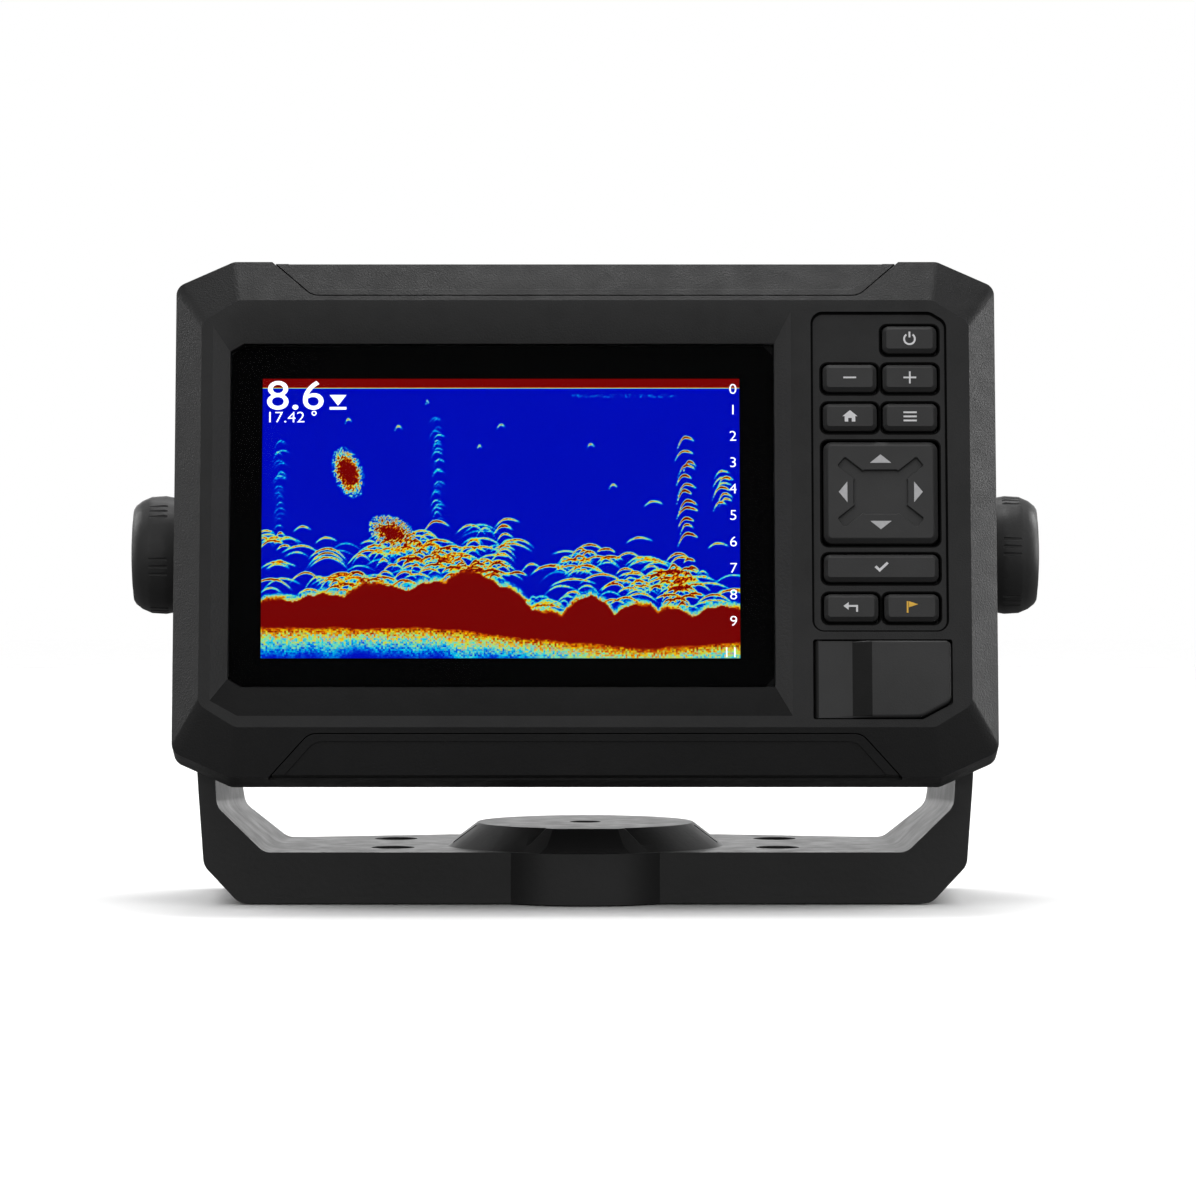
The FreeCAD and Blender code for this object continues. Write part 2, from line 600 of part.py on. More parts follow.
def make_screen():
    glass = screen_outline(dims.glass_left - dims.glass_gap, dims.glass_right - dims.glass_gap,
                           dims.glass_half_height - dims.glass_gap, dims.glass_run, dims.glass_rise)
    face_prism("display_lens", glass, GLASS_BACK, GLASS_FRONT)
    gasket = face_prism("lens_gasket", glass, LEDGE, GLASS_BACK)
    face_cut(gasket, window_outline(), GLASS_BACK, dims.gasket_thickness)
    panel_front = GLASS_BACK - dims.fit_gap
    panel_back = panel_front - dims.panel_thickness
    face_prism("lcd_panel", screen_plate_outline(dims.panel_margin), panel_back, panel_front)
    light_front = dims.bezel_back + dims.deep_cavity - dims.fit_gap
    light_back = light_front - dims.backlight_thickness
    face_prism("backlight_unit", screen_plate_outline(dims.backlight_margin), light_back, light_front,
               dims.key_round)


# ---------------------------------------------------------------- display unit: keys

def make_key(name, span):
    """A key cap with bevelled edges, held behind the bezel by a flange along top and bottom."""
    left, right, bottom, top = span
    gap = dims.key_gap
    body = new_body(name, LEANING)
    seat = KEY_SEAT - dims.flange_gap - dims.key_flange
    cap = rectangle(left + gap, right - gap, bottom + gap, top - gap)
    pad(body, draw_polygon(new_sketch(body, FACE, seat), cap, dims.key_round), KEY_TOP - seat)
    dress("Chamfer", body, dims.key_bevel, lies_at("Y", -KEY_TOP.number))
    hold_back = rectangle(left + gap, right - gap, bottom - gap, top + gap)
    pad(body, draw_polygon(new_sketch(body, FACE, seat), hold_back), dims.key_flange)
    return body


def make_direction_pad(span):
    left, right, bottom, top = span
    gap = dims.key_gap
    body = new_body("direction_pad", LEANING)
    back = KEY_TOP - dims.pad_thickness
    cap = rectangle(left + gap, right - gap, bottom + gap, top - gap)
    pad(body, draw_polygon(new_sketch(body, FACE, back), cap, dims.pad_round), dims.pad_thickness)
    dress("Chamfer", body, dims.pad_bevel, lies_at("Y", -KEY_TOP.number))
    across = (left + right) / 2
    up = (bottom + top) / 2
    outline = octagon(dims.hollow_across, dims.hollow_up, dims.hollow_cut, dims.hollow_cut)
    hollow = [(across + point[0], up + point[1]) for point in outline]
    face_cut(body, hollow, KEY_TOP, dims.pad_hollow, dims.key_gap)
    side = dims.pad_arm_width / 2
    for lean in (-1, 1):
        along = FreeCAD.Vector(dims.pad_arm_across.number, lean * dims.pad_arm_up.number, 0).normalize()
        arm = [
            (across + dims.pad_arm_across * end - side * (edge * along.y),
             up + dims.pad_arm_up * (end * lean) + side * (edge * along.x))
            for end, edge in ((-1, -1), (1, -1), (1, 1), (-1, 1))
        ]
        face_cut(body, arm, KEY_TOP, dims.pad_hollow, dims.key_gap)
    rocker = new_body("rocker_actuator", LEANING)
    rocker_front = back - dims.fit_gap * 3
    sketch = draw_circle(new_sketch(rocker, FACE, rocker_front), across, up, dims.rocker_radius)
    pad(rocker, sketch, dims.rocker_thickness, backwards=True)
    return body


def make_keypad_back(spans):
    """The rubber sheet with a dome behind each key, and the board that it presses on."""
    low, high = on_face(-dims.keypad_bottom) + dims.wall, on_face(dims.keypad_top) - dims.wall
    sheet_front = dims.ring_out - dims.membrane_drop + dims.membrane_thickness
    sheet_back = sheet_front - dims.membrane_thickness
    sheet = rectangle(dims.keypad_left + dims.key_gap, dims.keypad_right + dims.key_gap, low, high)
    membrane = face_prism("keypad_membrane", sheet, sheet_back, sheet_front, dims.key_round)
    for name, (left, right, bottom, top) in spans.items():
        across, up = (left + right) / 2, (bottom + top) / 2
        spots = [(across, up)]
        if name == "direction_pad":
            arm = dims.dome_spread
            spots = [(across + arm, up), (across - arm, up), (across, up + arm), (across, up - arm)]
        for spot in spots:
            sketch = draw_circle(new_sketch(membrane, FACE, sheet_back), spot[0], spot[1],
                                 dims.dome_radius)
            pad(membrane, sketch, dims.membrane_thickness + dims.dome_height)
    board_front = sheet_back - dims.fit_gap
    face_prism("keypad_board", sheet, board_front - dims.keypad_board_thickness, board_front,
               dims.key_round)


# ---------------------------------------------------------------- display unit: card door

def make_card_door():
    body = new_body("card_door", LEANING)
    gap = dims.door_gap
    low = on_face(-dims.door_bottom) + gap
    length = dims.door_bottom - dims.door_top - gap * 2
    right = dims.door_right - gap
    inside = HINGE_OUT - dims.hinge_radius
    flush = HINGE_OUT + dims.hinge_radius
    grip = dims.ring_out + dims.grip_stand
    section = [
        (HINGE_ACROSS, -inside), (HINGE_ACROSS, -flush), (dims.band_start, -flush),
        (dims.band_end, -grip), (right, -grip), (right, -inside),
    ]
    pad(body, draw_polygon(new_sketch(body, PLAN, low), section), length)
    barrel = draw_circle(new_sketch(body, PLAN, low), HINGE_ACROSS, -HINGE_OUT, dims.hinge_radius)
    pad(body, barrel, length)
    bore = draw_circle(new_sketch(body, PLAN, low), HINGE_ACROSS, -HINGE_OUT, dims.hinge_bore_radius)
    pocket(body, bore, length, backwards=True)
    corner = [
        (right - dims.door_run, low), (right, low + dims.door_rise),
        (right + dims.door_rise, low + dims.door_rise), (right + dims.door_rise, low - dims.door_rise),
        (right - dims.door_run, low - dims.door_rise),
    ]
    face_cut(body, corner, grip + dims.wall, dims.door_run)
    pin_low = on_face(-dims.door_bottom) - dims.pin_reach
    pin = new_body("card_door_pin", LEANING)
    sketch = draw_circle(new_sketch(pin, PLAN, pin_low), HINGE_ACROSS, -HINGE_OUT, dims.hinge_pin_radius)
    pad(pin, sketch, dims.door_bottom - dims.door_top + dims.pin_reach * 2)
    make_door_seal(inside)
    return body


def make_door_seal(inside):
    middle = (on_face(-dims.door_top) + on_face(-dims.door_bottom)) / 2
    wall = dims.seal_wall

    def ring(margin):
        half_width = dims.slot_half_width + margin
        half_height = dims.slot_half_height + margin
        return rectangle(dims.slot_centre - half_width, dims.slot_centre + half_width,
                         middle - half_height, middle + half_height)

    seal = face_prism("card_door_seal", ring(wall), inside - dims.seal_thickness, inside,
                      dims.key_round)
    face_cut(seal, ring(-wall * 0.5), inside, dims.seal_thickness)
    reader_front = dims.bezel_back + dims.deep_cavity - dims.fit_gap * 2
    reader = face_prism("card_reader", ring(wall), reader_front - dims.reader_depth, reader_front)
    slot_half = dims.membrane_thickness
    slot = rectangle(dims.slot_centre - dims.slot_half_width * 0.7,
                     dims.slot_centre + dims.slot_half_width * 0.7,
                     middle - slot_half, middle + slot_half)
    face_cut(reader, slot, reader_front, dims.reader_depth * 0.8)


# ---------------------------------------------------------------- display unit: rear

def make_rear_housing():
    body = new_body("rear_housing", LEANING)
    middle = on_face(0.0)
    flange = octagon(dims.flange_half_width, dims.flange_half_height, dims.corner_run, dims.corner_rise,
                     middle)
    flange_back = dims.bezel_back - dims.flange_thickness
    sketch = draw_polygon(new_sketch(body, FACE, flange_back), flange, dims.corner_round)
    pad(body, sketch, dims.flange_thickness)
    run, rise = dims.shell_run, dims.shell_rise
    wide = octagon(dims.shell_half_width, dims.shell_half_height, run, rise, middle)
    narrow = octagon(dims.back_half_width, dims.back_half_height, run, rise, middle)
    root = draw_polygon(new_sketch(body, FACE, flange_back), wide, dims.inner_round)
    tail = draw_polygon(new_sketch(body, FACE, dims.back_out), narrow, dims.inner_round)
    loft(body, root, tail)
    wall = dims.shell_wall
    inner_wide = octagon(dims.shell_half_width - wall, dims.shell_half_height - wall, run, rise, middle)
    inner_narrow = octagon(dims.back_half_width - wall, dims.back_half_height - wall, run, rise, middle)
    mouth = draw_polygon(new_sketch(body, FACE, flange_back), inner_wide)
    floor = draw_polygon(new_sketch(body, FACE, dims.back_out + wall), inner_narrow)
    loft(body, mouth, floor, cut=True)
    face_cut(body, inner_wide, dims.bezel_back, dims.flange_thickness)
    plug = rectangle(-dims.plug_half_width, dims.plug_half_width,
                     middle - dims.plug_half_height, middle + dims.plug_half_height)
    face_cut(body, plug, dims.back_out + wall, wall, dims.door_round)
    for across, up in screw_places():
        sketch = draw_circle(new_sketch(body, FACE, dims.bezel_back), across, up, dims.pilot_radius)
        pocket(body, sketch, dims.flange_thickness)
    return body


def make_housing_seal():
    middle = on_face(0.0)
    inner_width = dims.seal_ring_out - dims.seal_ring_width
    inner_height = dims.seal_ring_tall - dims.seal_ring_width
    outer = octagon(dims.seal_ring_out, dims.seal_ring_tall, dims.corner_run, dims.corner_rise, middle)
    inner = octagon(inner_width, inner_height, dims.corner_run, dims.corner_rise, middle)
    seal = face_prism("housing_seal", outer, dims.bezel_back, dims.bezel_back + dims.seal_ring_thickness)
    face_cut(seal, inner, dims.bezel_back + dims.seal_ring_thickness, dims.seal_ring_thickness)


def bound(feature, **sizes):
    """Set and bind the named properties of a Part primitive."""
    for name, size in sizes.items():
        size = as_size(size)
        setattr(feature, name, size.number)
        feature.setExpression(name, size.formula)
    return feature


def outward_cylinder(name, radius, length, across, up, out_back):
    """A Part cylinder of the display unit whose axis points out of the face."""
    cylinder = doc.addObject("Part::Cylinder", name)
    bound(cylinder, Radius=radius, Height=length)
    foot = FreeCAD.Vector(across.number, -out_back.number, up.number)
    outward = FreeCAD.Rotation(FreeCAD.Vector(1, 0, 0), 90)
    cylinder.Placement = LEANING.multiply(FreeCAD.Placement(foot, outward))
    return cylinder


def make_housing_screws():
    """Eight socket-head screws that pull the rear housing against the bezel."""
    seat = dims.bezel_back - dims.flange_thickness
    head_back = seat - dims.screw_head_height
    socket_depth = dims.screw_head_height * 0.6
    screws = []
    for number, (across, up) in enumerate(screw_places(), start=1):
        tag = "housing_screw_%d_" % number
        head = outward_cylinder(tag + "head", dims.screw_head_radius, dims.screw_head_height,
                                across, up, head_back)
        shank = outward_cylinder(tag + "shank", dims.screw_radius, dims.screw_length, across, up, seat)
        socket = outward_cylinder(tag + "socket", dims.screw_socket_radius, socket_depth,
                                  across, up, head_back)
        whole = doc.addObject("Part::Fuse", tag + "blank")
        whole.Base, whole.Tool = head, shank
        screw = doc.addObject("Part::Cut", tag + "screw")
        screw.Base, screw.Tool = whole, socket
        screws.append(screw)
    group = doc.addObject("Part::Compound", "housing_screws")
    group.Label = "housing_screws"
    group.Links = screws
    return group


def make_electronics():
    """The main board and what stands on it, the connector at the back."""
    middle = on_face(0.0)
    half_width, half_height = dims.board_width / 2, dims.board_height / 2
    board_back = dims.board_out - dims.board_thickness
    outline = rectangle(-half_width, half_width, middle - half_height, middle + half_height)
    board = face_prism("main_circuit_board", outline, board_back, dims.board_out, dims.corner_round)
    chip = dims.antenna_size / 2
    for across, up in ((-1.6, 1.2), (-1.6, -1.4), (0.2, 1.6), (0.6, -1.2), (1.5, 0.1)):
        centre_across = dims.antenna_size * across
        centre_up = middle + dims.antenna_size * up
        spot = rectangle(centre_across - chip, centre_across + chip, centre_up - chip, centre_up + chip)
        pad(board, draw_polygon(new_sketch(board, FACE, dims.board_out), spot), dims.chip_height)
    shield = rectangle(-dims.board_width * 0.42, -dims.board_width * 0.18,
                       middle - half_height * 0.6, middle + half_height * 0.5)
    face_prism("sonar_shield", shield, board_back - dims.shield_height, board_back, dims.door_round)
    patch_left = half_width - dims.antenna_size * 1.5
    patch_low = middle + half_height - dims.antenna_size * 1.4
    patch = rectangle(patch_left, patch_left + dims.antenna_size, patch_low, patch_low + dims.antenna_size)
    face_prism("gps_antenna", patch, board_back - dims.antenna_height, board_back, dims.door_round)
    beeper = new_body("beeper", LEANING)
    sketch = draw_circle(new_sketch(beeper, FACE, board_back), half_width * 0.6, middle - half_height * 0.5,
                         dims.beeper_radius)
    pad(beeper, sketch, dims.beeper_height, backwards=True)
    make_unit_connector(middle, board_back)


def make_unit_connector(middle, board_back):
    """The recessed multi-way connector that meets the cradle's contacts."""
    wide, tall = dims.plug_half_width - dims.fit_gap, dims.plug_half_height - dims.fit_gap
    outline = rectangle(-wide, wide, middle - tall, middle + tall)
    plug = face_prism("unit_connector", outline, dims.back_out, board_back - dims.fit_gap, dims.door_round)
    inner_wide, inner_tall = wide - dims.plug_wall, tall - dims.plug_wall
    recess = rectangle(-inner_wide, inner_wide, middle - inner_tall, middle + inner_tall)
    face_cut(plug, recess, dims.back_out, dims.plug_depth, backwards=True)


# ---------------------------------------------------------------- cradle

CRADLE_FRONT = dims.back_out - dims.cradle_gap
CRADLE_BACK = CRADLE_FRONT - dims.cradle_thickness


def make_cradle():
    """A shallow tray behind the unit, with an ear at each side for the tilt knobs."""
    body = new_body("cradle_body", LEANING)
    middle = on_face(0.0)
    tray = octagon(dims.cradle_half_width, dims.cradle_half_height, dims.cradle_corner,
                   dims.cradle_corner, middle)
    sketch = draw_polygon(new_sketch(body, FACE, CRADLE_BACK), tray, dims.inner_round)
    pad(body, sketch, dims.cradle_thickness)
    bar = rectangle(-dims.ear_outer, dims.ear_outer, -dims.ear_half_height, dims.ear_half_height)
    pad(body, draw_polygon(new_sketch(body, FACE, CRADLE_BACK), bar), dims.cradle_thickness)
    for side in (-1, 1):
        ear_in, ear_out = dims.ear_inner * side, dims.ear_outer * side
        ear = rectangle(ear_in, ear_out, -dims.ear_half_height, dims.ear_half_height)
        if side < 0:
            ear = rectangle(ear_out, ear_in, -dims.ear_half_height, dims.ear_half_height)
        pad(body, draw_polygon(new_sketch(body, FACE, CRADLE_BACK), ear), dims.ear_front - CRADLE_BACK)
        bore = draw_circle(new_sketch(body, SIDE, dims.ear_outer * side), 0.0, 0.0, dims.insert_radius)
        pocket(body, bore, dims.ear_outer - dims.insert_inner, backwards=side < 0)
    hollow_cradle(body, middle)
    return body


def hollow_cradle(body, middle):
    """Take out the tray from behind, cut the ways through for plugs and the lever."""
    wall = dims.cradle_wall
    inner = octagon(dims.cradle_half_width - wall, dims.cradle_half_height - wall, dims.cradle_corner,
                    dims.cradle_corner, middle)
    face_cut(body, inner, CRADLE_BACK, dims.cradle_thickness - wall, dims.door_round, backwards=True)
    wide, tall = dims.plug_half_width - dims.plug_wall, dims.plug_half_height - dims.plug_wall
    gate = rectangle(-wide, wide, middle - tall, middle + tall)
    face_cut(body, gate, CRADLE_FRONT, wall, dims.door_round)
    slot_wide = dims.lever_half_width + dims.lever_slot_gap
    slot_low = dims.lever_bottom - dims.lever_slot_gap
    slot = rectangle(-slot_wide, slot_wide, slot_low, dims.lever_top)
    face_cut(body, slot, CRADLE_FRONT, dims.cradle_thickness)
    for side in (-1, 1):
        cheek_in = dims.lever_half_width + dims.lever_slot_gap
        cheek_out = cheek_in + wall
        left, right = (cheek_in, cheek_out) if side > 0 else (-cheek_out, -cheek_in)
        cheek = rectangle(left, right, slot_low, dims.lever_pivot_up + wall)
        pad(body, draw_polygon(new_sketch(body, FACE, CRADLE_BACK), cheek), dims.cradle_thickness)
    pivot_out = CRADLE_FRONT - dims.lever_pivot_in
    hole = draw_circle(new_sketch(body, SIDE, 0.0), -pivot_out, dims.lever_pivot_up, dims.lever_pin_radius)
    length = (dims.lever_half_width + dims.lever_slot_gap + wall) * 2
    pocket(body, hole, length, midplane=True)


def make_cradle_contacts():
    middle = on_face(0.0)
    wide = dims.plug_half_width - dims.plug_wall - dims.contact_gap
    tall = dims.plug_half_height - dims.plug_wall - dims.contact_gap
    block = rectangle(-wide, wide, middle - tall, middle + tall)
    back = CRADLE_FRONT - dims.cradle_wall
    contacts = face_prism("cradle_contacts", block, back, CRADLE_FRONT + dims.contact_reach,
                          dims.contact_gap)
    plate_wide, plate_tall = dims.plug_half_width, dims.plug_half_height
    plate = rectangle(-plate_wide, plate_wide, middle - plate_tall, middle + plate_tall)
    sketch = draw_polygon(new_sketch(contacts, FACE, back), plate, dims.door_round)
    pad(contacts, sketch, dims.screw_head_height, backwards=True)


def make_socket(name, side):
    """A round cable socket that points out of the back of the cradle."""
    body = new_body(name, LEANING)
    root = CRADLE_FRONT - dims.cradle_wall
    across = dims.socket_spacing / 2 * side
    up = on_face(-dims.socket_drop)
    sketch = draw_circle(new_sketch(body, FACE, root), across, up, dims.socket_radius)
    pad(body, sketch, dims.socket_length, backwards=True)
    mouth = root - dims.socket_length
    sketch = draw_circle(new_sketch(body, FACE, mouth), across, up, dims.socket_bore)
    pocket(body, sketch, dims.socket_depth, backwards=True)


def make_lever():
    """The release lever: a thumb plate above the pivot and a hook over the housing."""
    pivot_out = CRADLE_FRONT - dims.lever_pivot_in
    half = dims.lever_thickness / 2
    hook_low = dims.lever_hook_up
    hook_high = hook_low + dims.lever_hook_thickness
    body = new_body("release_lever", LEANING)
    hook_tip = pivot_out + half + dims.lever_hook_reach
    profile = [
        (-pivot_out + half, dims.lever_bottom), (-pivot_out + half, dims.lever_top),
        (-pivot_out - half, dims.lever_top), (-pivot_out - half, hook_high),
        (-hook_tip, hook_high), (-hook_tip, hook_low), (-pivot_out - half, hook_low),
        (-pivot_out - half, dims.lever_bottom),
    ]
    sketch = draw_polygon(new_sketch(body, SIDE, 0.0), profile)
    pad(body, sketch, dims.lever_half_width * 2, midplane=True)
    bore = draw_circle(new_sketch(body, SIDE, 0.0), -pivot_out, dims.lever_pivot_up, dims.lever_bore_radius)
    pocket(body, bore, dims.lever_half_width * 2, midplane=True)
    room = rectangle(-dims.spring_room, dims.spring_room, dims.lever_bottom - dims.lever_slot_gap,
                     dims.lever_pivot_up + dims.spring_leg + dims.lever_slot_gap)
    face_cut(body, room, pivot_out + half, dims.lever_thickness)
    pin = new_body("lever_pin", LEANING)
    rod = draw_circle(new_sketch(pin, SIDE, 0.0), -pivot_out, dims.lever_pivot_up, dims.lever_pin_radius)
    pad(pin, rod, (dims.lever_half_width + dims.lever_slot_gap + dims.cradle_wall) * 2, midplane=True)
    make_lever_spring(pivot_out)


def make_lever_spring(pivot_out):
    """A torsion spring round the lever's pin, standing in a notch of the lever."""
    spring = new_body("lever_spring", LEANING)
    outside = draw_circle(new_sketch(spring, SIDE, 0.0), -pivot_out, dims.lever_pivot_up,
                          dims.spring_radius)
    pad(spring, outside, dims.spring_half_length * 2, midplane=True)
    behind = pivot_out - dims.spring_radius + dims.spring_wire
    for side, leg_up in ((-1, dims.lever_pivot_up - dims.spring_leg), (1, dims.lever_pivot_up)):
        inner = (dims.spring_half_length - dims.spring_wire) * side
        outer = dims.spring_half_length * side
        left, right = (inner, outer) if side > 0 else (outer, inner)
        leg = rectangle(left, right, leg_up, leg_up + dims.spring_leg)
        sketch = draw_polygon(new_sketch(spring, FACE, behind), leg)
        pad(spring, sketch, dims.spring_wire, backwards=True)
    bore = draw_circle(new_sketch(spring, SIDE, 0.0), -pivot_out, dims.lever_pivot_up,
                       dims.lever_bore_radius)
    pocket(spring, bore, dims.spring_half_length * 2, midplane=True)


# ---------------------------------------------------------------- knobs

def revolve(name, profile, placement):
    """A body turned about its own X axis from a profile of (along, radius) points."""
    body = new_body(name, placement)
    sketch = draw_polygon(new_sketch(body, FACE, 0.0), profile)
    feature = body.newObject("PartDesign::Revolution", name + "_turned")
    feature.Profile = sketch
    feature.ReferenceAxis = (sketch, ["H_Axis"])
    feature.Angle = FULL_TURN
    return body


def knob_placement(side):
    turn = FreeCAD.Rotation(FreeCAD.Vector(0, 0, 1), 0 if side > 0 else 180)
    return FreeCAD.Placement(FreeCAD.Vector(0, 0, dims.axis_height.number), turn)


def make_knob(side_name, side):
    place = knob_placement(side)
    near, far = dims.knob_inner, dims.knob_outer - dims.knob_dome
    seat = far - dims.knob_cap_depth
    head_seat = near + dims.head_sink
    head_end = head_seat + dims.bolt_head_height
    bore = dims.insert_bore
    head_room = dims.bolt_head_radius + dims.bolt_gap
    cap_room = dims.knob_cap_radius + dims.cap_gap
    profile = [
        (near, bore), (near, dims.knob_neck_radius),
        (near + dims.knob_flare, dims.knob_radius - dims.knob_edge),
        (near + dims.knob_belly, dims.knob_radius),
        (near + dims.knob_fall, dims.knob_radius - dims.knob_slope),
        (near + dims.knob_shoulder, dims.knob_rim_radius + dims.knob_shoulder_step),
        (far - dims.knob_edge, dims.knob_rim_radius), (far, dims.knob_rim_radius - dims.knob_rim_edge),
        (far, cap_room), (seat, cap_room), (seat, head_room), (head_seat, head_room), (head_seat, bore),
    ]
    grip = revolve(side_name + "_knob_grip", profile, place)
    cut_grip_grooves(grip, near)
    cap_low = seat + dims.cap_gap
    cap = [
        (cap_low, 0.0), (cap_low, dims.knob_cap_radius), (far - dims.cap_sink, dims.knob_cap_radius),
        (far + dims.cap_low, dims.knob_cap_radius - dims.cap_inset), (far + dims.cap_high, dims.cap_crown),
        (dims.knob_outer, 0.0),
    ]
    revolve(side_name + "_knob_cap", cap, place)
    bolt = [
        (dims.bolt_tip, 0.0), (dims.bolt_tip, dims.bolt_radius - dims.knob_edge),
        (dims.bolt_tip + dims.knob_edge, dims.bolt_radius), (head_seat, dims.bolt_radius),
        (head_seat, dims.bolt_head_radius), (head_end, dims.bolt_head_radius), (head_end, 0.0),
    ]
    revolve(side_name + "_knob_bolt", bolt, place)
    washer_far = dims.washer_inner + dims.washer_thickness
    washer = [
        (dims.washer_inner, bore + dims.bolt_gap), (dims.washer_inner, dims.washer_radius),
        (washer_far, dims.washer_radius), (washer_far, bore + dims.bolt_gap),
    ]
    revolve(side_name + "_friction_washer", washer, place)
    insert = [
        (dims.insert_inner, bore), (dims.insert_inner, dims.insert_radius),
        (dims.ear_outer, dims.insert_radius), (dims.ear_outer, bore),
    ]
    revolve(side_name + "_threaded_insert", insert, place)


def cut_grip_grooves(grip, near):
    """Short grooves along the grip, in groups of three, repeated all the way round."""
    sketch = new_sketch(grip, SIDE, near + dims.groove_in)
    for turn in (-1, 0, 1):
        angle = math.radians(90 + dims.groove_turn.number + turn * dims.groove_spread.number)
        radius = dims.knob_radius + dims.groove_proud
        draw_circle(sketch, radius * math.cos(angle), radius * math.sin(angle), dims.groove_radius)
    cut = pocket(grip, sketch, dims.groove_length, backwards=True)
    ring = grip.newObject("PartDesign::PolarPattern", grip.Name + "_grooves")
    ring.Originals = [cut]
    turning_axis = [item for item in grip.Origin.OriginFeatures if item.Role == "X_Axis"][0]
    ring.Axis = (turning_axis, [""])
    ring.Angle = FULL_TURN
    ring.Occurrences = int(dims.groove_groups.number)
    grip.Tip = ring


# ---------------------------------------------------------------- bail and swivel

def bail_inner(taper, floor_taper, drop):
    """The opening between the arms; the taper draws it in towards the rear."""
    side = dims.inner_side - taper
    side_up = dims.inner_side_up - drop
    floor = dims.inner_floor - floor_taper
    top = dims.arm_top + dims.inner_round
    right = [(floor, dims.base_height), (side, side_up), (dims.arm_inner, dims.arm_straight),
             (dims.arm_inner, top)]
    left = [(-across, up) for across, up in right[::-1]]
    return right + left


def make_bail():
    body = new_body("bail_bracket")
    depth = dims.bail_front + dims.bail_rear
    right = [
        (dims.foot_half, 0.0), (dims.foot_side, dims.foot_rise), (dims.arm_outer, dims.arm_straight),
        (dims.arm_outer, dims.arm_top),
    ]
    left = [(-across, up) for across, up in right[::-1]]
    outer = draw_polygon(new_sketch(body, FACE, dims.bail_front), right + left, dims.foot_round,
                         (0, 1, 6, 7))
    pad(body, outer, depth, backwards=True)
    front = draw_polygon(new_sketch(body, FACE, dims.bail_front),
                         bail_inner(*[as_size(0.0)] * 3), dims.inner_round, (0, 1, 6, 7))
    rear = draw_polygon(new_sketch(body, FACE, -dims.bail_rear),
                        bail_inner(dims.taper, dims.floor_taper, dims.side_taper_drop),
                        dims.inner_round, (0, 1, 6, 7))
    loft(body, front, rear, cut=True)
    narrow_arms(body)
    bow = [
        (-dims.bow_outer, dims.bail_rear - dims.bow_bite), (dims.bow_outer, dims.bail_rear - dims.bow_bite),
        (dims.bow_outer, dims.bail_rear), (dims.bow_inner, dims.bail_bow),
        (-dims.bow_inner, dims.bail_bow), (-dims.bow_outer, dims.bail_rear),
    ]
    pad(body, draw_polygon(new_sketch(body, PLAN, 0.0), bow), dims.base_height)
    boss = draw_circle(new_sketch(body, PLAN, 0.0), 0.0, -dims.front_boss_centre, dims.front_boss_radius)
    pad(body, boss, dims.base_height)
    add_dome(body)
    cut_bail_holes(body)
    return body


def narrow_arms(body):
    """Trim the arms, seen from the side, to a taper that ends round the tilt axis."""
    high = dims.arm_top + dims.inner_round
    shoulder = dims.arm_shoulder
    ridge = dims.axis_height
    far = dims.bail_front + dims.inner_round
    for side in (-1, 1):
        edge = dims.bail_front if side < 0 else dims.bail_rear
        corners = [
            (edge * side, shoulder), (dims.arm_top_radius * side, ridge),
            (dims.arm_top_radius * side, ridge + dims.arm_top_cut),
            (dims.arm_top_cut * side, ridge + dims.arm_top_radius),
            (dims.arm_top_cut * side, high), (far * side, high), (far * side, shoulder),
        ]
        sketch = draw_polygon(new_sketch(body, SIDE, 0.0), corners if side < 0 else corners[::-1])
        pocket(body, sketch, dims.across_all, midplane=True)
    bore = draw_circle(new_sketch(body, SIDE, 0.0), 0.0, dims.axis_height, dims.arm_bore)
    pocket(body, bore, dims.across_all, midplane=True)


def add_dome(body):
    """The cone over the swivel, with a faceted tongue running down to the front boss."""
    lower = draw_circle(new_sketch(body, PLAN, dims.base_height), 0.0, 0.0, dims.cone_radius)
    upper = draw_circle(new_sketch(body, PLAN, dims.dome_top), 0.0, 0.0, dims.dome_top_radius)
    loft(body, lower, upper)
    levels = [
        (dims.base_height, dims.tongue_foot, dims.tongue_foot_reach, dims.tongue_foot_cut),
        (dims.tongue_waist_up, dims.tongue_waist, dims.tongue_waist_reach, dims.tongue_waist_cut),
        (dims.dome_top, dims.tongue_head, dims.tongue_head_reach, dims.tongue_head_cut),
    ]
    for low, high in zip(levels, levels[1:]):
        loft(body, draw_tongue(body, *low), draw_tongue(body, *high))


def draw_tongue(body, up, half, reach, cut):
    """A level slice of the tongue: square behind, with its two front corners cut off."""
    back = -dims.dome_top_radius / 2
    slice_across = [
        (-half, back), (-half, cut - reach), (cut - half, -reach),
        (half - cut, -reach), (half, cut - reach), (half, back),
    ]
    return draw_polygon(new_sketch(body, PLAN, up), slice_across)


